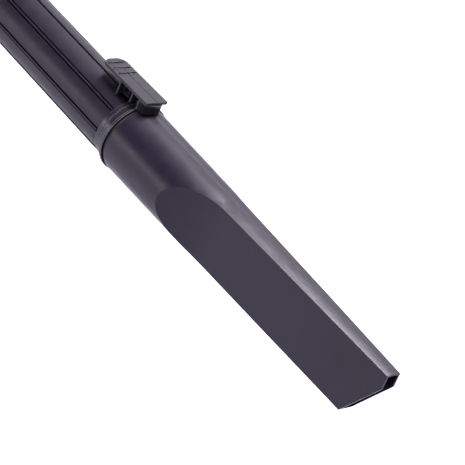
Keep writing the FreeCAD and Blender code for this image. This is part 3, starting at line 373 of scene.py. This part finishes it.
# Stainless wire cloth.
WIRE_CLOTH = Finish("stainless_wire_woven", "#A9ABAE", "#8F9194", 0.3, grain=Grain.BRUSHED,
                    grain_mm=0.3, metallic=1.0)
# Glass-filled nylon of the fan.
NYLON = Finish("nylon_moulded", "#C9C8C2", "#BDBCB6", 0.42, grain_mm=0.5)
# Lacquered circuit board.
BOARD = Finish("fibreglass_board_lacquered", "#1F5B38", "#184A2D", 0.3, grain=Grain.FIBROUS,
               grain_mm=0.6, coat=0.4)
# Shrunk vinyl sleeve of a cell.
SLEEVE = Finish("vinyl_sleeve_shrunk", "#2F5C8F", "#28507E", 0.3, grain=Grain.POLISHED,
                relief=0.05)
# Open-cell polyurethane foam.
FOAM = Finish("polyurethane_foam_open", "#2A2A2C", "#141415", 0.95, grain=Grain.CELLULAR,
              grain_mm=1.2, relief=1.0)
# Satin anodised aluminium, turned: pale grey with fine lines round it.
SATIN_ALUMINIUM = Finish("aluminium_anodised_turned", "#9A9DA3", "#8B8E94", 0.3,
                         grain=Grain.BRUSHED, grain_mm=0.3, relief=0.06, metallic=1.0)
# Nickel-plated brass of the contact.
NICKEL = Finish("brass_nickel_plated", "#C9C3B4", "#BDB7A8", 0.2, grain=Grain.POLISHED,
                relief=0.03, metallic=1.0)
# Raised marks, hot-stamped in pale grey.
GREY_INK = Finish("polycarbonate_hot_stamped", "#B9BCC2", "#AEB1B7", 0.45, grain_mm=0.4)
# Lit indicator lens.
LENS = Finish("acrylic_lens_lit", "#7CE08A", "#6CD07A", 0.15, grain=Grain.POLISHED,
              relief=0.02, glow=1.5)
# The studio's table top, lit from inside so that it renders white without a shadow.
LIGHT_TABLE = Finish("studio_light_table", "#82808A", "#817F89", 0.9, relief=0.0,
                     specular=0.0, glow=3.8)

NODE_FINISHES: dict[Finish, tuple[str, ...]] = {
    POLYPROPYLENE: ("crevice_nozzle",),
    COLLAR_PLASTIC: ("end_collar",),
    PEDAL_PLASTIC: ("thumb_pedal",),
    SHADED_PLASTIC: ("pedal_bracket",),
    BLACK_STEEL: ("pedal_pin", "pedal_spring"),
    EXTRUDED: ("wand_tube", "wand_ferrule"),
    RUBBER: ("seal_ring", "wand_seal", "inlet_flap", "cup_seal", "handle_grip"),
    GRAINED_ABS: ("housing_left", "housing_right", "rear_cap", "top_handle", "base_pad"),
    INNER_ABS: ("inlet_duct", "filter_frame", "filter_seat", "fan_shroud",
                "front_motor_mount", "rear_motor_mount", "battery_cradle", "button_shelf",
                "switch_module", "charge_jack"),
    KEY_ABS: ("power_switch", "cup_button"),
    SMOKED: ("dust_cup",),
    ZINC_STEEL: ("flap_pin", "button_spring", "motor_shaft", "housing_screws", "cap_screws"),
    DRAWN_STEEL: ("motor_can",),
    COPPER: ("motor_core",),
    PAPER: ("pleated_filter",),
    WIRE_CLOTH: ("mesh_screen",),
    NYLON: ("fan_impeller",),
    BOARD: ("circuit_board",),
    SLEEVE: ("battery_cells",),
    FOAM: ("exhaust_foam",),
    LENS: ("charge_lamp",),
}


def dress_nodes(nodes: dict[str, bpy.types.Object]) -> None:
    """Give every solid of the frame its finish.

    Args:
        nodes: Node name to its object.
    """
    for finish, names in NODE_FINISHES.items():
        for name in names:
            mesh = nodes[name].data
            mesh.materials.clear()
            mesh.materials.append(finish.build())
            log.info("dressed %s as %s", name, finish.name)


# ------------------------------------------------------------------ mesh tools
def new_object(name: str, data: bpy.types.ID) -> bpy.types.Object:
    """Make an object and put it in the scene.

    Args:
        name: The object's name.
        data: Its mesh, light or camera.

    Returns:
        The new object.
    """
    made = bpy.data.objects.new(name, data)
    bpy.context.scene.collection.objects.link(made)
    return made


def new_piece(name: str, mesh: bpy.types.Mesh, finish: Finish, body: str
              ) -> bpy.types.Object:
    """Make a piece from a mesh, dress it and let it ride on a body.

    Args:
        name: The piece's name.
        mesh: Its finished mesh, in place.
        finish: What it is made of.
        body: The body it moves with.

    Returns:
        The new piece.
    """
    mesh.name = name
    mesh.materials.clear()
    mesh.materials.append(finish.build())
    piece = new_object(name, mesh)
    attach(piece, body)
    log.info("piece %s: %d faces on %s", name, len(mesh.polygons), body)
    return piece


def lathe(profile: Sequence[tuple[float, float]], segments: int, closed: bool,
          axis_height: float = 0.0) -> bpy.types.Mesh:
    """Turn a profile about the X axis, or a line parallel to it.

    Args:
        profile: Pairs of place along X and radius, in mm.
        segments: Steps round the axis.
        closed: True where the profile is a ring that never meets the axis.
        axis_height: Height of the axis above the ground, in metres.

    Returns:
        A closed mesh with outward faces.
    """
    shape = bmesh.new()
    rows = []
    for x, radius in profile:
        if radius == 0.0:
            rows.append([shape.verts.new((x * MM, 0.0, axis_height))] * segments)
            continue
        turns = [2 * math.pi * step / segments for step in range(segments)]
        rows.append([shape.verts.new((x * MM, radius * MM * math.sin(turn),
                                      axis_height + radius * MM * math.cos(turn)))
                     for turn in turns])
    pairs = list(zip(rows, rows[1:])) + ([(rows[-1], rows[0])] if closed else [])
    for here, there in pairs:
        for step in range(segments):
            after = (step + 1) % segments
            corners = dict.fromkeys((here[step], here[after], there[after], there[step]))
            shape.faces.new(list(corners))
    bmesh.ops.recalc_face_normals(shape, faces=shape.faces)
    mesh = bpy.data.meshes.new("turned")
    shape.to_mesh(mesh)
    shape.free()
    mesh.shade_smooth()
    mesh.set_sharp_from_angle(angle=SHARP_ANGLE)
    return mesh


def new_tree(name: str, inputs: dict[str, str]) -> Tree:
    """Make an empty geometry tree.

    Args:
        name: The tree's name.
        inputs: Input name to kind of socket, after the geometry itself.

    Returns:
        The tree, with its group input and output nodes.
    """
    tree = bpy.data.node_groups.new(name, "GeometryNodeTree")
    tree.interface.new_socket("Geometry", in_out="INPUT", socket_type="NodeSocketGeometry")
    for label, kind in inputs.items():
        tree.interface.new_socket(label, in_out="INPUT", socket_type=f"NodeSocket{kind}")
    tree.interface.new_socket("Geometry", in_out="OUTPUT", socket_type="NodeSocketGeometry")
    tree.nodes.new("NodeGroupInput").name = "in"
    tree.nodes.new("NodeGroupOutput").name = "out"
    return tree


def close_tree(tree: Tree, geometry: Socket, finish: Finish) -> None:
    """End a tree: make its instances real and set their material.

    Args:
        tree: The tree to end.
        geometry: What it has made.
        finish: What that is made of.
    """
    real = add_node(tree, "GeometryNodeRealizeInstances", {"Geometry": geometry})
    dressed = add_node(tree, "GeometryNodeSetMaterial", {"Geometry": real.outputs["Geometry"]},
                       {"Material": finish.build()})
    tree.links.new(dressed.outputs["Geometry"], tree.nodes["out"].inputs["Geometry"])


def grow(tree: Tree, inputs: dict[str, object],
         places: Sequence[Sequence[float]] = ()) -> bpy.types.Mesh:
    """Run a geometry tree once and keep its result as a plain mesh.

    Args:
        tree: The tree.
        inputs: Input name to value.
        places: Points that the tree starts from.

    Returns:
        The resulting mesh.
    """
    seed = bpy.data.meshes.new("seed")
    seed.from_pydata([tuple(place) for place in places], [], [])
    holder = new_object("seed", seed)
    modifier = holder.modifiers.new("grow", "NODES")
    modifier.node_group = tree
    for item in tree.interface.items_tree:
        if item.in_out == "INPUT" and item.name in inputs:
            modifier[item.identifier] = inputs[item.name]
    graph = bpy.context.evaluated_depsgraph_get()
    mesh = bpy.data.meshes.new_from_object(holder.evaluated_get(graph), depsgraph=graph)
    holder.modifiers.remove(modifier)
    bpy.data.objects.remove(holder)
    bpy.data.meshes.remove(seed)
    return mesh


# ------------------------------------------------------------------ screws
@dataclass
class ScrewKind:
    """One kind of pan-head tapping screw with a cross recess, sizes in mm.

    Attributes:
        head_radius: Radius of the head.
        head: Height of the head.
        shank_radius: Radius over the thread.
        shank: Length under the head.
        pitch: Distance between thread crests.
        recess: Width of the recess's arms.
        root: Radius between the crests as a share of the thread's.
        lead: Bare length under the head.
        point: Length of the tapered point.
        arm: Reach of the recess as a share of the head's radius.
        taper: Width of the recess at its bottom as a share of its mouth.
    """

    head_radius: float
    head: float
    shank_radius: float
    shank: float
    pitch: float = 1.2
    recess: float = 0.9
    root: float = 0.8
    lead: float = 0.6
    point: float = 2.0
    arm: float = 0.62
    taper: float = 0.55

    def profile(self) -> list[tuple[float, float]]:
        """Return the outline along the shank's axis, head first."""
        rim, top, crest = self.head_radius, -self.head, self.shank_radius
        valley = crest * self.root
        points = [(top, 0.0), (top, rim * 0.55), (top * 0.88, rim * 0.8), (top * 0.62, rim * 0.95),
                  (top * 0.3, rim), (-0.05, rim), (0.0, rim - 0.05), (0.0, valley)]
        place = self.lead
        while place < self.shank - self.point - 0.4:
            points += [(place, valley), (place + self.pitch / 2, crest)]
            place += self.pitch
        points += [(self.shank - self.point, valley), (self.shank, 0.0)]
        return points

    def build(self) -> bpy.types.Object:
        """Return a single screw at the origin, its shank along +X."""
        screw = new_object("screw", lathe(self.profile(), 28, closed=False))
        cutter = new_object("recess", self.recess_mesh())
        cut = screw.modifiers.new("recess", "BOOLEAN")
        cut.object = cutter
        cut.operation = "DIFFERENCE"
        cut.solver = "EXACT"
        graph = bpy.context.evaluated_depsgraph_get()
        mesh = bpy.data.meshes.new_from_object(screw.evaluated_get(graph), depsgraph=graph)
        screw.modifiers.clear()
        screw.data = mesh
        bpy.data.objects.remove(cutter)
        return screw

    def recess_mesh(self) -> bpy.types.Mesh:
        """Return the cross-shaped cutter, tapered towards its point."""
        shape = bmesh.new()
        arm, half = self.head_radius * self.arm * MM, self.recess / 2 * MM
        mouth, bottom = -self.head * 1.4 * MM, -self.head * 0.3 * MM
        outline = [(half, half), (arm, half), (arm, -half), (half, -half), (half, -arm),
                   (-half, -arm), (-half, -half), (-arm, -half), (-arm, half), (-half, half),
                   (-half, arm), (half, arm)]
        outer = [shape.verts.new((mouth, y, z)) for y, z in outline]
        inner = [shape.verts.new((bottom, y * self.taper, z * self.taper)) for y, z in outline]
        count = len(outline)
        for step in range(count):
            after = (step + 1) % count
            shape.faces.new((outer[step], outer[after], inner[after], inner[step]))
        shape.faces.new(outer)
        shape.faces.new(inner)
        bmesh.ops.recalc_face_normals(shape, faces=shape.faces)
        mesh = bpy.data.meshes.new("recess")
        shape.to_mesh(mesh)
        shape.free()
        return mesh


@dataclass
class Fastenings:
    """The screws of the housing and of the rear cap.

    Attributes:
        side: Screws driven in from the right half.
        rear: Screws of the rear cap.
    """

    side: ScrewKind = field(default_factory=lambda: ScrewKind(3.0, 2.2, 1.5, 38.0))
    rear: ScrewKind = field(default_factory=lambda: ScrewKind(3.4, 1.6, 1.8, 10.0))

    def build(self) -> None:
        """Replace the frame's plain screws with detailed ones."""
        low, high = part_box("housing_screws")
        edge = self.side.head_radius * MM
        places = [(x, low[1] + self.side.head * MM, z) for x in (low[0] + edge, high[0] - edge)
                  for z in (low[2] + edge, high[2] - edge)]
        self.row("side_screws", self.side, places, (0.0, 0.0, math.pi / 2), "housing_screws")
        low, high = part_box("cap_screws")
        edge = self.rear.head_radius * MM
        places = [(low[0] + self.rear.head * MM, y, (low[2] + high[2]) / 2)
                  for y in (low[1] + edge, high[1] - edge)]
        self.row("rear_screws", self.rear, places, (0.0, 0.0, 0.0), "cap_screws")

    @staticmethod
    def row(name: str, kind: ScrewKind, places: Sequence[Sequence[float]],
            turn: tuple[float, float, float], node: str) -> None:
        """Set one screw at every place.

        Args:
            name: The piece's name.
            kind: The screw.
            places: Where the undersides of the heads lie.
            turn: Turn of the screw from its +X direction.
            node: The frame's node that the row replaces.
        """
        screw = kind.build()
        tree = new_tree(name, {"Screw": "Object", "Turn": "Vector"})
        entry = tree.nodes["in"].outputs
        model = add_node(tree, "GeometryNodeObjectInfo", {"Object": entry["Screw"]},
                         {"As Instance": True})
        rows = add_node(tree, "GeometryNodeInstanceOnPoints",
                        {"Points": entry["Geometry"], "Instance": model.outputs["Geometry"],
                         "Rotation": entry["Turn"]})
        close_tree(tree, rows.outputs["Instances"], ZINC_STEEL)
        mesh = grow(tree, {"Screw": screw, "Turn": turn}, places)
        bpy.data.objects.remove(screw)
        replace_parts(new_piece(name, mesh, ZINC_STEEL, "housing"), node)


# ------------------------------------------------------------------ filter cloth
@dataclass
class FilterCloth:
    """The wire cloth round the filter cage.

    Attributes:
        wire: Wire radius in mm.
        rings: Wires that go round.
        bars: Wires that go along.
    """

    wire: float = 0.16
    rings: int = 30
    bars: int = 128

    def build(self) -> None:
        """Weave the cloth and put it in place of the plain sleeve."""
        low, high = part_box("mesh_screen")
        radius = (high[1] - low[1]) / 2 - 2 * self.wire * MM
        length = high[0] - low[0] - 2 * self.wire * MM
        tree = new_tree("wire_cloth", {"Radius": "Float", "Length": "Float", "Wire": "Float",
                                       "Step": "Float", "Rings": "Int", "Bars": "Int",
                                       "Start": "Vector"})
        self.weave(tree)
        mesh = grow(tree, {"Radius": radius, "Length": length, "Wire": self.wire * MM,
                           "Step": length / (self.rings - 1), "Rings": self.rings,
                           "Bars": self.bars,
                           "Start": (low[0] + self.wire * MM, 0.0, (low[2] + high[2]) / 2)})
        cloth = new_piece("filter_cloth", mesh, WIRE_CLOTH, "filter")
        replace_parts(cloth, "mesh_screen")

    @staticmethod
    def weave(tree: Tree) -> None:
        """Lay out the rings and the long wires in the tree.

        Args:
            tree: The tree, with the cloth's sizes as its inputs.
        """
        entry = tree.nodes["in"].outputs
        section = add_node(tree, "GeometryNodeCurvePrimitiveCircle", {"Radius": entry["Wire"]},
                           {"Resolution": 5}).outputs["Curve"]
        round_ = add_node(tree, "GeometryNodeCurvePrimitiveCircle", {"Radius": entry["Radius"]},
                          {"Resolution": 96}).outputs["Curve"]
        ring = add_node(tree, "GeometryNodeCurveToMesh", {"Curve": round_,
                                                          "Profile Curve": section})
        step = add_node(tree, "ShaderNodeCombineXYZ", {"X": entry["Step"]})
        row = add_node(tree, "GeometryNodeMeshLine", {"Count": entry["Rings"],
                                                      "Offset": step.outputs[0]}, mode="OFFSET")
        rings = add_node(tree, "GeometryNodeInstanceOnPoints",
                         {"Points": row.outputs["Mesh"], "Instance": ring.outputs["Mesh"]},
                         {"Rotation": ACROSS_X})
        reach = add_node(tree, "ShaderNodeCombineXYZ", {"X": entry["Length"]})
        span = add_node(tree, "GeometryNodeCurvePrimitiveLine", {"End": reach.outputs[0]})
        bar = add_node(tree, "GeometryNodeCurveToMesh", {"Curve": span.outputs["Curve"],
                                                         "Profile Curve": section},
                       {"Fill Caps": True})
        wide = add_node(tree, "GeometryNodeMeshCircle", {"Vertices": entry["Bars"],
                                                         "Radius": entry["Radius"]})
        upright = add_node(tree, "GeometryNodeTransform", {"Geometry": wide.outputs["Mesh"]},
                           {"Rotation": ACROSS_X})
        bars = add_node(tree, "GeometryNodeInstanceOnPoints",
                        {"Points": upright.outputs["Geometry"], "Instance": bar.outputs["Mesh"]})
        both = add_node(tree, "GeometryNodeJoinGeometry")
        tree.links.new(rings.outputs["Instances"], both.inputs[0])
        tree.links.new(bars.outputs["Instances"], both.inputs[0])
        placed = add_node(tree, "GeometryNodeTransform", {"Geometry": both.outputs[0],
                                                          "Translation": entry["Start"]})
        close_tree(tree, placed.outputs["Geometry"], WIRE_CLOTH)


# ------------------------------------------------------------------ release spring
@dataclass
class ReleaseSpring:
    """The coil spring under the cup's release button.

    Attributes:
        wire: Wire radius in mm.
        turns: Number of turns.
        squeezed: Share of its height that is left when the button is down; not used.
    """

    wire: float = 0.4
    turns: float = 5.0
    squeezed: float = 0.7

    def build(self) -> None:
        """Wind the spring and put it in place of the frame's plain one."""
        low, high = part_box("button_spring")
        middle = [(low[axis] + high[axis]) / 2 for axis in (0, 1)]
        foot = (middle[0], middle[1], low[2] + self.wire * MM)
        tree = new_tree("release_spring", {"Radius": "Float", "Height": "Float",
                                           "Wire": "Float", "Turns": "Float", "Foot": "Vector"})
        entry = tree.nodes["in"].outputs
        coil = add_node(tree, "GeometryNodeCurveSpiral",
                        {"Rotations": entry["Turns"], "Start Radius": entry["Radius"],
                         "End Radius": entry["Radius"], "Height": entry["Height"]},
                        {"Resolution": 28})
        section = add_node(tree, "GeometryNodeCurvePrimitiveCircle", {"Radius": entry["Wire"]},
                           {"Resolution": 12})
        wound = add_node(tree, "GeometryNodeCurveToMesh",
                         {"Curve": coil.outputs["Curve"],
                          "Profile Curve": section.outputs["Curve"]}, {"Fill Caps": True})
        placed = add_node(tree, "GeometryNodeTransform", {"Geometry": wound.outputs["Mesh"],
                                                          "Translation": entry["Foot"]})
        close_tree(tree, placed.outputs["Geometry"], ZINC_STEEL)
        mesh = grow(tree, {"Radius": (high[1] - low[1]) / 2 - self.wire * MM,
                           "Height": high[2] - low[2] - 2 * self.wire * MM,
                           "Wire": self.wire * MM, "Turns": self.turns, "Foot": foot})
        mesh.shade_smooth()
        spring = new_piece("release_spring", mesh, ZINC_STEEL, "housing")
        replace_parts(spring, "button_spring")
        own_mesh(spring)


# ------------------------------------------------------------------ grip
@dataclass
class GripPips:
    """The soft pips moulded on the handle's rubber strip, sizes in mm.

    Attributes:
        pitch: Distance between pips.
        radius: Radius of a pip.
        height: How far a pip stands up.
        border: Bare margin round the field.
    """

    pitch: float = 3.2
    radius: float = 1.05
    height: float = 0.55
    border: float = 2.6

    def build(self) -> None:
        """Cover the strip's top with pips."""
        low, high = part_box("handle_grip")
        room = [(high[axis] - low[axis]) / MM - 2 * self.border for axis in (0, 1)]
        across, along = (int(size // self.pitch) + 1 for size in (room[1], room[0]))
        middle = ((low[0] + high[0]) / 2, (low[1] + high[1]) / 2, high[2])
        tree = new_tree("grip_pips", {"Columns": "Int", "Rows": "Int", "Size": "Vector",
                                      "Scale": "Vector", "Middle": "Vector"})
        entry = tree.nodes["in"].outputs
        size = add_node(tree, "ShaderNodeSeparateXYZ", {"Vector": entry["Size"]})
        field_ = add_node(tree, "GeometryNodeMeshGrid",
                          {"Size X": size.outputs["X"], "Size Y": size.outputs["Y"],
                           "Vertices X": entry["Columns"], "Vertices Y": entry["Rows"]})
        pip = add_node(tree, "GeometryNodeMeshUVSphere",
                       values={"Segments": 14, "Rings": 8, "Radius": 1.0})
        pips = add_node(tree, "GeometryNodeInstanceOnPoints",
                        {"Points": field_.outputs["Mesh"], "Instance": pip.outputs["Mesh"],
                         "Scale": entry["Scale"]})
        placed = add_node(tree, "GeometryNodeTransform", {"Geometry": pips.outputs["Instances"],
                                                          "Translation": entry["Middle"]})
        close_tree(tree, placed.outputs["Geometry"], RUBBER)
        mesh = grow(tree, {"Columns": along, "Rows": across,
                           "Size": ((along - 1) * self.pitch * MM,
                                    (across - 1) * self.pitch * MM, 0.0),
                           "Scale": (self.radius * MM, self.radius * MM, self.height * MM),
                           "Middle": middle})
        mesh.shade_smooth()
        new_piece("grip_pips", mesh, RUBBER, "housing")


# ------------------------------------------------------------------ trim
@dataclass
class TrimRings:
    """Brushed rings where the housing meets the cup and the rear cap, sizes in mm.

    Attributes:
        width: Width of the front ring.
        gap: Room between the front ring and the cup.
        seam: Width of the ring in the rear seam.
        inset: How far the front ring stays inside the housing's outline.
        bevel: Bevel of the front ring's back edge.
        round_over: Bevel of its front edge.
        sunk: Depth of the rear ring's foot under the housing's outline.
        edge: Bevel of the rear ring, and its top's depth under that outline.
    """

    width: float = 2.2
    gap: float = 0.45
    seam: float = 1.2
    inset: float = 0.9
    bevel: float = 0.45
    round_over: float = 0.6
    sunk: float = 0.95
    edge: float = 0.25

    def build(self) -> None:
        """Turn both rings."""
        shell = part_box("housing_left")
        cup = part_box("dust_cup")
        axis = (cup[0][2] + cup[1][2]) / 2
        outer = shell[1][1] / MM
        inner = cup[1][1] / MM + self.gap
        back = shell[1][0] / MM + 0.05
        tip = shell[1][0] / MM + self.width
        crown = outer - self.inset
        front = [(back, inner), (back, crown - self.bevel), (back + self.bevel, crown),
                 (tip - self.round_over, crown), (tip, crown - self.round_over),
                 (tip, inner + 0.4), (tip - 0.4, inner)]
        self.ring("cup_trim", front, axis)
        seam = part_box("rear_cap")[1][0] / MM
        half = self.seam / 2
        foot, top = outer - self.sunk, outer - self.edge
        rear = [(seam - half, foot), (seam - half + self.edge, top),
                (seam + half - self.edge, top), (seam + half, foot)]
        self.ring("rear_trim", rear, axis)

    @staticmethod
    def ring(name: str, profile: Sequence[tuple[float, float]], axis: float) -> None:
        """Turn one ring.

        Args:
            name: The piece's name.
            profile: Places along X and radii of its section, in mm.
            axis: Height of its axis in metres.
        """
        mesh = lathe(profile, RING_STEPS, closed=True, axis_height=axis)
        new_piece(name, mesh, SATIN_ALUMINIUM, "housing")


# ------------------------------------------------------------------ cup marks
@dataclass
class CupMarks:
    """The raised fill line and its ticks on the cup's side, sizes in mm.

    Attributes:
        line_from_front: Distance of the line behind the snout's end.
        line_top: Half width of the line's top.
        line_foot: Half width of its foot.
        sunk: Depth of its foot in the cup's wall.
        rise: How far the line stands out.
        ticks: Number of ticks on each side.
        spread: Angle between neighbouring ticks in degrees.
        tick_back: Distance of the ticks behind the line.
        tick_rise: How far the middle of a tick lies outside the wall.
        tick: Half length, half width and half height of a tick.
    """

    line_from_front: float = 104.0
    line_top: float = 0.3
    line_foot: float = 0.5
    sunk: float = 0.15
    rise: float = 0.28
    ticks: int = 7
    spread: float = 4.2
    tick_back: float = 7.0
    tick_rise: float = 0.05
    tick: tuple[float, float, float] = (3.0, 0.45, 0.22)

    def build(self) -> None:
        """Add the line and the ticks."""
        low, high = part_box("dust_cup")
        axis = (low[2] + high[2]) / 2
        radius = (high[2] - low[2]) / 2 / MM
        line = high[0] / MM - self.line_from_front
        foot, top = radius - self.sunk, radius + self.rise
        ring = [(line - self.line_foot, foot), (line - self.line_top, top),
                (line + self.line_top, top), (line + self.line_foot, foot)]
        mesh = lathe(ring, RING_STEPS, closed=True, axis_height=axis)
        new_piece("fill_line", mesh, GREY_INK, "cup")
        seat = (radius + self.tick_rise) * MM
        places = []
        for side in (-1, 1):
            for index in range(self.ticks):
                angle = math.radians(side * 90 + (index - (self.ticks - 1) / 2) * self.spread)
                places.append(((line - self.tick_back) * MM, seat * math.sin(angle),
                               axis + seat * math.cos(angle)))
        self.tick_rows(places, axis)

    def tick_rows(self, places: Sequence[Sequence[float]], axis: float) -> None:
        """Set a flat pill at every place, turned to the cup's surface.

        Args:
            places: Centres of the ticks, in metres.
            axis: Height of the cup's axis in metres.
        """
        tree = new_tree("level_ticks", {"Scale": "Vector", "Axis": "Float"})
        entry = tree.nodes["in"].outputs
        here = add_node(tree, "GeometryNodeInputPosition")
        axes = add_node(tree, "ShaderNodeSeparateXYZ", {"Vector": here.outputs[0]})
        lift = add_node(tree, "ShaderNodeMath", {0: axes.outputs["Z"], 1: entry["Axis"]},
                        operation="SUBTRACT")
        outward = add_node(tree, "ShaderNodeCombineXYZ", {"Y": axes.outputs["Y"],
                                                          "Z": lift.outputs[0]})
        turned = add_node(tree, "FunctionNodeAlignRotationToVector",
                          {"Vector": outward.outputs[0]}, axis="Z")
        pill = add_node(tree, "GeometryNodeMeshUVSphere",
                        values={"Segments": 16, "Rings": 8, "Radius": 1.0})
        ticks = add_node(tree, "GeometryNodeInstanceOnPoints",
                         {"Points": entry["Geometry"], "Instance": pill.outputs["Mesh"],
                          "Rotation": turned.outputs["Rotation"], "Scale": entry["Scale"]})
        close_tree(tree, ticks.outputs["Instances"], GREY_INK)
        mesh = grow(tree, {"Scale": tuple(half * MM for half in self.tick), "Axis": axis}, places)
        mesh.shade_smooth()
        new_piece("level_ticks", mesh, GREY_INK, "cup")


# ------------------------------------------------------------------ charging port
@dataclass
class ChargePort:
    """The contact pin in the charging socket, sizes in mm.

    Attributes:
        radius: Radius of the pin.
        length: Length of the pin.
        set_back: Distance of the pin's foot behind the socket's inner end.
    """

    radius: float = 0.85
    length: float = 7.0
    set_back: float = 3.0

    def build(self) -> None:
        """Turn the pin with its rounded tip."""
        low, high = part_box("charge_jack")
        floor = high[0] / MM - self.set_back
        tip = floor - self.length
        profile = [(tip, 0.0), (tip + 0.1, self.radius * 0.5), (tip + 0.45, self.radius * 0.88),
                   (tip + 0.9, self.radius), (floor, self.radius), (floor, 0.0)]
        mesh = lathe(profile, 24, closed=False, axis_height=(low[2] + high[2]) / 2)
        new_piece("charge_pin", mesh, NICKEL, "housing")


# ------------------------------------------------------------------ studio
@dataclass(frozen=True)
class Lamp:
    """One rectangular light that points at what the camera looks at.

    Attributes:
        name: Its name.
        offset: Where it hangs, counted from the point it lights, in metres.
        width: Its width in metres.
        depth: Its depth in metres.
        power: Its power in watts.
    """

    name: str
    offset: tuple[float, float, float]
    width: float
    depth: float
    power: float

    def build(self, aim: Vector) -> None:
        """Hang the light and point it.

        Args:
            aim: The point it lights.
        """
        data = bpy.data.lights.new(self.name, "AREA")
        data.shape = "RECTANGLE"
        data.size = self.width
        data.size_y = self.depth
        data.energy = self.power
        place = aim + Vector(self.offset)
        lamp = new_object(self.name, data)
        lamp.location = place
        lamp.rotation_euler = (place - aim).to_track_quat("Z", "Y").to_euler()


LAMPS = (
    Lamp("key_light", (-0.2, 0.42, 1.2), 0.62, 0.45, 51.0),
    Lamp("top_light", (-0.2, -0.05, 1.25), 0.9, 0.45, 24.0),
    Lamp("front_light", (0.6, -2.2, 1.9), 1.4, 1.2, 28.0),
    Lamp("low_light", (-1.0, -1.55, 0.1), 1.0, 0.35, 8.5),
    Lamp("rim_light", (-1.0, 1.35, 0.75), 1.0, 0.6, 5.5),
    Lamp("tip_light", (1.7, -0.5, 0.25), 0.8, 0.4, 6.0),
)


@dataclass
class Studio:
    """The light table, the soft lights and the camera.

    Attributes:
        floor_size: Side of the floor in metres.
        aim: Point the camera looks at.
        distance: Camera's distance from that point.
        lens_mm: Focal length on a 36 mm sensor.
        lean: Turn of the wand away from the picture plane, degrees.
        roll_round: Height of the view round the wand's axis, degrees.
        slope: How far the wand runs downhill in the picture, degrees.
        rise: How far the aim is moved up the picture, in metres.
        lamps: The area lights.
        sky: Hex colour of the world.
        sky_strength: Brightness of the world.
    """

    floor_size: float = 14.0
    aim: Vector = field(default_factory=lambda: Vector((0.42971, 0.0, 0.062)))
    distance: float = 0.90981
    lens_mm: float = 154.68
    lean: float = 32.39
    roll_round: float = 37.31
    slope: float = 46.85
    rise: float = 0.0039
    lamps: tuple[Lamp, ...] = LAMPS
    sky: str = "#F2F1F8"
    sky_strength: float = 0.24

    def build(self) -> None:
        """Make floor, lights, world and camera."""
        self.make_floor()
        self.make_lights()
        self.make_camera()

    def make_floor(self) -> None:
        """Make the floor, which is one wide light table."""
        half = self.floor_size / 2
        mesh = bpy.data.meshes.new("floor")
        mesh.from_pydata([(-half, -half, 0), (half, -half, 0), (half, half, 0),
                          (-half, half, 0)], [], [(0, 1, 2, 3)])
        floor = new_object("floor", mesh)
        mesh.materials.append(LIGHT_TABLE.build())

    def back_vector(self) -> Vector:
        """Return the direction from the aim to the camera."""
        lean, round_ = math.radians(self.lean), math.radians(self.roll_round)
        return Vector((math.sin(lean), -math.cos(lean) * math.cos(round_),
                       math.cos(lean) * math.sin(round_)))

    def make_camera(self) -> None:
        """Make the camera: a long lens looking down along the nozzle."""
        back = self.back_vector()
        along = Vector((1, 0, 0))
        along = (along - along.dot(back) * back).normalized()
        above = back.cross(along)
        slope = math.radians(self.slope)
        right = math.cos(slope) * along + math.sin(slope) * above
        up = -math.sin(slope) * along + math.cos(slope) * above
        data = bpy.data.cameras.new("camera")
        data.lens = self.lens_mm
        data.sensor_width = 36.0
        data.clip_start = 0.01
        camera = new_object("camera", data)
        place = self.aim + above * self.rise + back * self.distance
        camera.matrix_world = Matrix((
            (right.x, up.x, back.x, place.x), (right.y, up.y, back.y, place.y),
            (right.z, up.z, back.z, place.z), (0, 0, 0, 1)))
        bpy.context.scene.camera = camera

    def make_lights(self) -> None:
        """Make the area lights, the pale world and the plain view transform."""
        for lamp in self.lamps:
            lamp.build(self.aim)
        world = bpy.data.worlds.new("world")
        world.use_nodes = True
        shade = world.node_tree.nodes["Background"]
        shade.inputs["Color"].default_value = linear(self.sky)
        shade.inputs["Strength"].default_value = self.sky_strength
        bpy.context.scene.world = world
        bpy.context.scene.view_settings.view_transform = "Standard"


def main() -> None:
    """Build the looks in order."""
    logging.basicConfig(level=logging.INFO, format="%(message)s")
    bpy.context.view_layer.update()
    dress_nodes(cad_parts)
    for assembly in (Fastenings(), FilterCloth(), ReleaseSpring(), GripPips(), TrimRings(),
                     CupMarks(), ChargePort(), Studio()):
        assembly.build()
        log.info("built %s", type(assembly).__name__)


if __name__ == "__main__":
    main()
